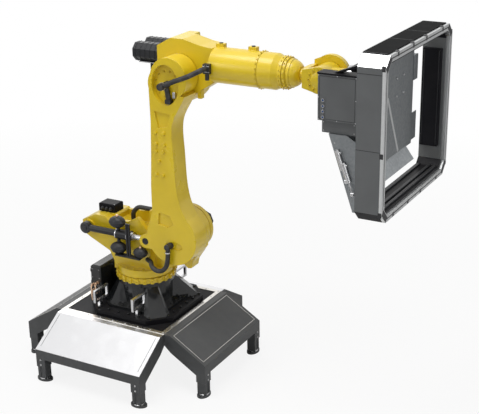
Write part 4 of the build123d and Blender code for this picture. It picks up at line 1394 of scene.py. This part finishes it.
    def folds(self) -> list[Shell]:
        """Fold four flanges on the inner plate."""
        x = self.plate_x + 0.002
        return [
            carried([(x, -0.285, 1.99), (x, -0.285, 2.69)], slab(0.03, 0.006, 0.001), AHEAD),
            block((2.1, 0.244, 2.419), (2.113, 0.31, 2.589), 0.001),
            block((2.1, 0.244, 2.0), (2.106, 0.33, 2.191), 0.001),
            block((2.08, 0.3, 2.419), (2.113, 0.306, 2.589), 0.001),
        ]

    def rails(self) -> list[Shell]:
        """Lay three rails on the bottom beam and two upright ones inside the far side plate.

        Returns:
            The five rails.
        """
        floor = self.low + 0.062
        z0, z1 = floor - 0.001, floor + 0.012
        rails = [block((x, -0.49, z0), (x + 0.022, 0.49, z1), 0.002) for x in (2.075, 2.15, 2.19)]
        return rails + [block((x, 0.4975, 1.905), (x + 0.006, 0.501, 2.575), 0.0012) for x in (2.085, 2.19)]

    def adapter_bolts(self) -> list[Shell]:
        """Put bolts round the adapter's flange, on its back and on the front of the inner plate.

        Returns:
            The bolts.
        """
        x, radius = self.adapter_ring
        bolts = spoked((x, 0.0, TUBE_HEIGHT), radius, 16, "yz", 0.006, 0.2)
        back = [(1.815, y, z + TUBE_HEIGHT) for y in (-0.105, 0.105) for z in (-0.105, 0.0, 0.105)]
        face = [(self.plate_x, y, z + TUBE_HEIGHT) for y in (-0.06, 0.06) for z in (-0.06, 0.06)]
        return [*bolts, stood(cap_bolt(0.009), back, BEHIND), stood(cap_bolt(0.01), face, AHEAD)]

    def build(self) -> None:
        """Add the frame's trim, the inner details and the adapter's bolts."""
        self.add("rim_grooves", self.grooves(), Look.PLASTIC, "black_plate")
        self.add("rim_clips", self.straps() + self.edge_caps(), Look.PLASTIC, "black_plate")
        self.add("side_seams", self.seams(), Look.PLASTIC, "black_plate")
        # Painted highlight: a bright plate on the upper corner facet that faces the light; the lower facet
        # gets none.
        self.add("corner_plate", [self.corner_plate()], Look.SHEET, "wing_sheet")
        self.add("top_flanges", self.top_flanges(), Look.MOTOR, "black_plate")
        self.add("inner_folds", self.folds(), Look.GALVANISED, "galvanised")
        # The fold on the galvanised plate is laid in the brighter rim metal: a painted highlight along the
        # fold.
        fold = carried([(2.1065, -0.201, 2.4), (2.1065, 0.007, 1.992)], slab(0.022, 0.002, 0.0008), AHEAD)
        self.add("plate_fold", [fold], Look.RIM, "galvanised")
        self.add("inner_rails", self.rails(), Look.MOTOR, "black_plate")
        self.add("adapter_bolts", self.adapter_bolts(), Look.BOLT, "steel")


@dataclass(frozen=True)
class ControlBox(Assembly):
    """Trim of the control box, and the cylinders and screws on the chute.

    Attributes:
        near_y: Place of the box's near face along Y.
        low_x: Place of its rear face along X.
        high_x: Place of its front face along X.
        bottom: Bottom of the box.
        top: Top of the box.
        middle: Place along X and height of the middle of its near face.
        plugs_x: Place of the plugs along X.
    """

    body = "gripper"
    near_y: float = -0.335
    low_x: float = 1.678
    high_x: float = 1.95
    bottom: float = 2.242
    top: float = 2.548
    middle: tuple[float, float] = (1.814, 2.395)
    plugs_x: float = 1.717

    def door(self) -> list[Shell]:
        """Frame the door on the near face with a thin raised border.

        Returns:
            The four sides of the border.
        """
        inset = 0.012
        x0, x1 = self.low_x + inset, self.high_x - inset
        z0, z1 = self.bottom + inset, self.top - inset
        lines = [((x0, z0), (x0, z1)), ((x1, z0), (x1, z1)), ((x0, z0), (x1, z0)), ((x0, z1), (x1, z1))]
        section = slab(0.003, 0.0016, 0.0004)
        return [carried([(x, self.near_y, z) for x, z in line], section, NEAR) for line in lines]

    def screws(self) -> Shell:
        """Put eight screws round the box's near face and four just below it.

        Returns:
            The screws.
        """
        x, z = self.middle
        offsets = [(a, b) for a in (-0.13, 0.0, 0.13) for b in (-0.147, 0.0, 0.147) if a or b]
        places = [(x + a, self.near_y, z + b) for a, b in offsets]
        places += [(a, self.near_y + 0.02, b) for a in (1.712, 1.928) for b in (2.172, 2.228)]
        return stood(button_bolt(0.004), places, NEAR)

    def plugs(self) -> tuple[Shell, Shell]:
        """Make four round plugs near the left edge, each a steel shell round a blue insert.

        Returns:
            The shells and the inserts.
        """
        places = [(self.plugs_x, self.near_y, z) for z in (2.379, 2.34, 2.304, 2.266)]
        shell = band(0.0075, 0.0105, 0.009, 20, -0.0005)
        insert = turned([(0.0078, -0.0005), (0.0078, 0.006), (0.006, 0.0065)], 20)
        return stood(shell, places, NEAR), stood(insert, places, NEAR)

    def cylinders(self) -> tuple[list[Shell], list[Shell]]:
        """Hang two small air cylinders with their rods on the near cheek of the chute.

        Returns:
            The barrels with their clamps, and the rods.
        """
        barrels, rods = [], []
        for x, z in ((1.822, 2.06), (1.868, 1.98)):
            start, turn, end = (x, -0.351, z), (x + 0.046, -0.351, z - 0.13), (x + 0.07, -0.351, z - 0.2)
            foot_x, _, foot_z = end
            barrels.append(carried([start, turn], oval(0.0145, 20), NEAR))
            rods.append(carried([turn, end], oval(0.005, 12), NEAR))
            barrels.append(block((x - 0.004, -0.352, z - 0.03), (x + 0.028, -0.3305, z - 0.012), 0.002))
            low, high = (foot_x - 0.012, -0.357, foot_z - 0.02), (foot_x + 0.012, -0.3305, foot_z + 0.004)
            barrels.append(block(low, high, 0.002))
        return barrels, rods

    def build(self) -> None:
        """Add the door, screws, plugs, cylinders and the chute's screws."""
        self.add("box_door", self.door(), Look.PLASTIC, "black_plate")
        self.add("box_screws", [self.screws()], Look.BOLT, "steel")
        steel, blue = self.plugs()
        self.add("box_plugs", [steel], Look.STEEL, "steel")
        self.add("box_plug_inserts", [blue], Look.BLUE, "black_plate")
        barrels, rods = self.cylinders()
        self.add("air_cylinders", barrels, Look.STEEL, "steel")
        self.add("air_cylinder_rods", rods, Look.BOLT, "steel")
        line = row_of((1.80, -0.331, 2.10), (1.955, -0.331, 1.68), 7)
        self.add("chute_screws", [stood(button_bolt(0.005), line, NEAR)], Look.BOLT, "steel")


@dataclass(frozen=True)
class Hose:
    """Hose drawn as one smooth curve through its route.

    Attributes:
        name: Name of the piece.
        node: CAD node that it replaces.
        route: Control points in metres. The lower ones lie below the CAD route, clear of the rod's eye.
        radius: Radius in metres.
        pitch: Distance between ribs in metres.
        depth: Half the depth of a groove between ribs, as a share of the radius.
        sides: Number of points round.
        smooth: Largest angle in degrees between faces that are shaded smooth.
    """

    name: str
    node: str
    route: tuple[Point, ...]
    radius: float = 0.018
    pitch: float = 0.009
    depth: float = 0.03
    sides: int = 20
    smooth: float = 50.0

    def make(self) -> bpy.types.Object:
        """Build the hose as a mesh with fine ribs along it.

        Returns:
            The piece.
        """
        data = bpy.data.curves.new(f"{self.name}_line", "CURVE")
        data.dimensions = "3D"
        data.resolution_u = 24
        spline = data.splines.new("NURBS")
        spline.points.add(len(self.route) - 1)
        spline.points.foreach_set("co", np.column_stack([self.route, np.ones(len(self.route))]).ravel())
        spline.order_u = 3
        spline.use_endpoint_u = True
        drawn = bpy.data.objects.new(f"{self.name}_line", data)
        sampled = bpy.data.meshes.new_from_object(drawn)
        line = np.array([vertex.co for vertex in sampled.vertices])
        bpy.data.objects.remove(drawn)
        bpy.data.curves.remove(data)
        bpy.data.meshes.remove(sampled)
        return self.skin(line)

    def skin(self, line: np.ndarray) -> bpy.types.Object:
        """Skin the line: at arc length s the radius is R (1 - depth (1 + cos(2 pi s / pitch))).

        Args:
            line: Points of the centre line, one row each.

        Returns:
            The piece.
        """
        steps = np.concatenate([[0.0], np.cumsum(np.linalg.norm(np.diff(line, axis=0), axis=1))])
        arc = np.linspace(0.0, steps[-1], int(steps[-1] / self.pitch * 6))
        smooth = np.stack([np.interp(arc, steps, line[:, axis]) for axis in range(3)], -1)
        along = np.gradient(smooth, axis=0)
        along /= np.linalg.norm(along, axis=1, keepdims=True)
        frames = [np.cross(along[0], (0.31, 0.86, 0.4))]
        for direction in along[1:]:
            frames.append(frames[-1] - direction * (frames[-1] @ direction))
        across = np.array(frames)
        across /= np.linalg.norm(across, axis=1, keepdims=True)
        over = np.cross(along, across)
        angles = np.linspace(0.0, 2.0 * np.pi, self.sides, endpoint=False)
        radius = self.radius * (1.0 - self.depth * (1.0 + np.cos(2.0 * np.pi * arc / self.pitch)))
        turn = angles[None, :, None]
        wheel = np.cos(turn) * across[:, None] + np.sin(turn) * over[:, None]
        shell = woven(smooth[:, None] + radius[:, None, None] * wheel)
        piece = formed(self.name, shell, Look.HOSE, self.smooth)
        LOG.info("%s: %d faces, %.3f m", self.name, len(piece.data.polygons), steps[-1])
        return piece


@dataclass(frozen=True)
class View:
    """Camera that sees the arm as the photograph does.

    Attributes:
        place: Camera position in metres.
        yaw: Turn about Z, in radians, away from looking along +Y.
        dip: Downward pitch in radians.
        roll: Turn about the line of sight in radians.
        focal_px: Focal length in pixels of the photograph.
        width_px: Width of the photograph in pixels.
        sensor_mm: Width of the sensor in millimetres.
    """

    place: Point = (4.6533, -6.6999, 4.2845)
    yaw: float = 0.510676
    dip: float = 0.359985
    roll: float = -0.0172277
    focal_px: float = 1122.785
    width_px: float = 479.0
    sensor_mm: float = 36.0

    def make(self) -> None:
        """Build the camera and make it the scene's own."""
        data = bpy.data.cameras.new("view")
        data.sensor_width = self.sensor_mm
        data.lens = self.focal_px * data.sensor_width / self.width_px
        camera = bpy.data.objects.new("view", data)
        bpy.context.collection.objects.link(camera)
        level = math.cos(self.dip)
        forward = Vector((-math.sin(self.yaw) * level, math.cos(self.yaw) * level, -math.sin(self.dip)))
        right = Vector((math.cos(self.yaw), math.sin(self.yaw), 0.0))
        up = right.cross(forward)
        turned_right = math.cos(self.roll) * right + math.sin(self.roll) * up
        turned_up = -math.sin(self.roll) * right + math.cos(self.roll) * up
        basis = Matrix((turned_right, turned_up, -forward)).transposed().to_4x4()
        camera.matrix_world = Matrix.Translation(self.place) @ basis
        bpy.context.scene.camera = camera


@dataclass(frozen=True)
class Studio:
    """White studio: a pale floor, a white surround and soft lamps.

    Attributes:
        ambient: Strength of the surround as light.
        lamps: Place, size in metres and power in watts of each soft lamp.
        target: Point that the lamps face.
        floor_radius: Radius of the floor in metres.
        floor_sides: Number of its corners.
        floor_z: Its height, just under the feet.
        shadow_span: Distances from the middle between which the floor's shadows fade.
        glow: Share of plain white in the floor near the middle.
    """

    ambient: float = 0.3
    lamps: tuple[tuple[Point, float, float], ...] = (
        ((0.2, -1.2, 6.6), 3.5, 185.0), ((-3.4, -5.0, 3.8), 3.0, 60.0), ((5.0, -2.0, 3.4), 2.5, 42.0),
        ((-3.5, 3.5, 4.5), 3.0, 55.0),
    )
    target: Point = (0.6, 0.0, 1.3)
    floor_radius: float = 40.0
    floor_sides: int = 96
    floor_z: float = -0.0005
    shadow_span: tuple[float, float] = (1.6, 7.0)
    glow: float = 0.86

    def surround(self) -> None:
        """Make the world white to the eye and in reflections, and dimmer as light."""
        world = bpy.data.worlds.new("studio")
        bpy.context.scene.world = world
        world.use_nodes = True
        tree = world.node_tree
        rays = tree.nodes.new("ShaderNodeLightPath")
        shown = rays.outputs["Is Camera Ray"]
        for kind in ("Is Glossy Ray", "Is Transmission Ray"):
            either = tree.nodes.new("ShaderNodeMath")
            either.operation = "MAXIMUM"
            tree.links.new(shown, either.inputs[0])
            tree.links.new(rays.outputs[kind], either.inputs[1])
            shown = either.outputs[0]
        strength = tree.nodes.new("ShaderNodeMapRange")
        strength.inputs["To Min"].default_value = self.ambient
        tree.links.new(shown, strength.inputs["Value"])
        background = tree.nodes["Background"]
        background.inputs["Color"].default_value = (1.0, 1.0, 1.0, 1.0)
        tree.links.new(strength.outputs[0], background.inputs["Strength"])

    def floor(self) -> None:
        """Lay a round white floor that keeps the object's shadow."""
        sides, radius = self.floor_sides, self.floor_radius
        angles = np.linspace(0.0, 2.0 * np.pi, sides, endpoint=False)
        heights = np.full(sides, self.floor_z)
        points = np.column_stack([radius * np.cos(angles), radius * np.sin(angles), heights])
        mesh = bpy.data.meshes.new("floor")
        mesh.from_pydata(points.tolist(), [], [list(range(sides))])
        graph = Graph("studio_floor")
        rays = graph.node("ShaderNodeLightPath")
        matte = graph.node("ShaderNodeBsdfDiffuse", {}, {"Color": (0.93, 0.93, 0.93, 1.0)})
        white = graph.node("ShaderNodeEmission", {}, {"Color": (1.0, 1.0, 1.0, 1.0), "Strength": 1.0})
        away = graph.node("ShaderNodeVectorMath", {"operation": "LENGTH"}, {0: graph.place}).outputs["Value"]
        bright = graph.span(Value(graph, away), *self.shadow_span) * (1.0 - self.glow) + self.glow
        share = Value(graph, rays.outputs["Is Camera Ray"]) * bright
        mixed = graph.node("ShaderNodeMixShader", {}, {0: share, 1: matte.outputs[0], 2: white.outputs[0]})
        graph.node("ShaderNodeOutputMaterial", {}, {0: mixed.outputs[0]})
        mesh.materials.append(graph.material)
        floor = bpy.data.objects.new("floor", mesh)
        bpy.context.collection.objects.link(floor)

    def lights(self) -> None:
        """Hang the soft lamps, each facing the object."""
        for number, (place, size, power) in enumerate(self.lamps):
            data = bpy.data.lights.new(f"lamp_{number}", "AREA")
            data.shape = "DISK"
            data.size = size
            data.energy = power
            lamp = bpy.data.objects.new(f"lamp_{number}", data)
            bpy.context.collection.objects.link(lamp)
            aim = (Vector(self.target) - Vector(place)).to_track_quat("-Z", "Y")
            lamp.matrix_world = Matrix.Translation(place) @ aim.to_matrix().to_4x4()

    def make(self) -> None:
        """Build the surround, the floor and the lamps."""
        self.surround()
        self.floor()
        self.lights()


FOOT_HOSE = Hose("foot_hose", "hose_foot", (
    (0.432, -0.262, 1.079), (0.43, -0.262, 0.955), (0.385, -0.262, 0.883), (0.32, -0.258, 0.867),
    (0.262, -0.24, 0.888), (0.222, -0.18, 0.9), (0.172, -0.1586, 0.897),
))


def main() -> None:
    """Build the scene in order and report each piece."""
    logging.basicConfig(level=logging.INFO, format="%(name)s: %(message)s")
    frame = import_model()
    View().make()
    Studio().make()
    bpy.context.scene.view_settings.view_transform = "Standard"
    for kind in (Platform, Base, Column, Counterbalance, Link, Forearm, Wrist, Pitch, Gripper, ControlBox):
        assembly = kind()
        assembly.dress_nodes(frame["nodes"])
        assembly.build()
        LOG.info("built %s", kind.__name__.lower())
    hose = FOOT_HOSE.make()
    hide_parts(FOOT_HOSE.node)
    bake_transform(hose)


if __name__ == "__main__":
    main()
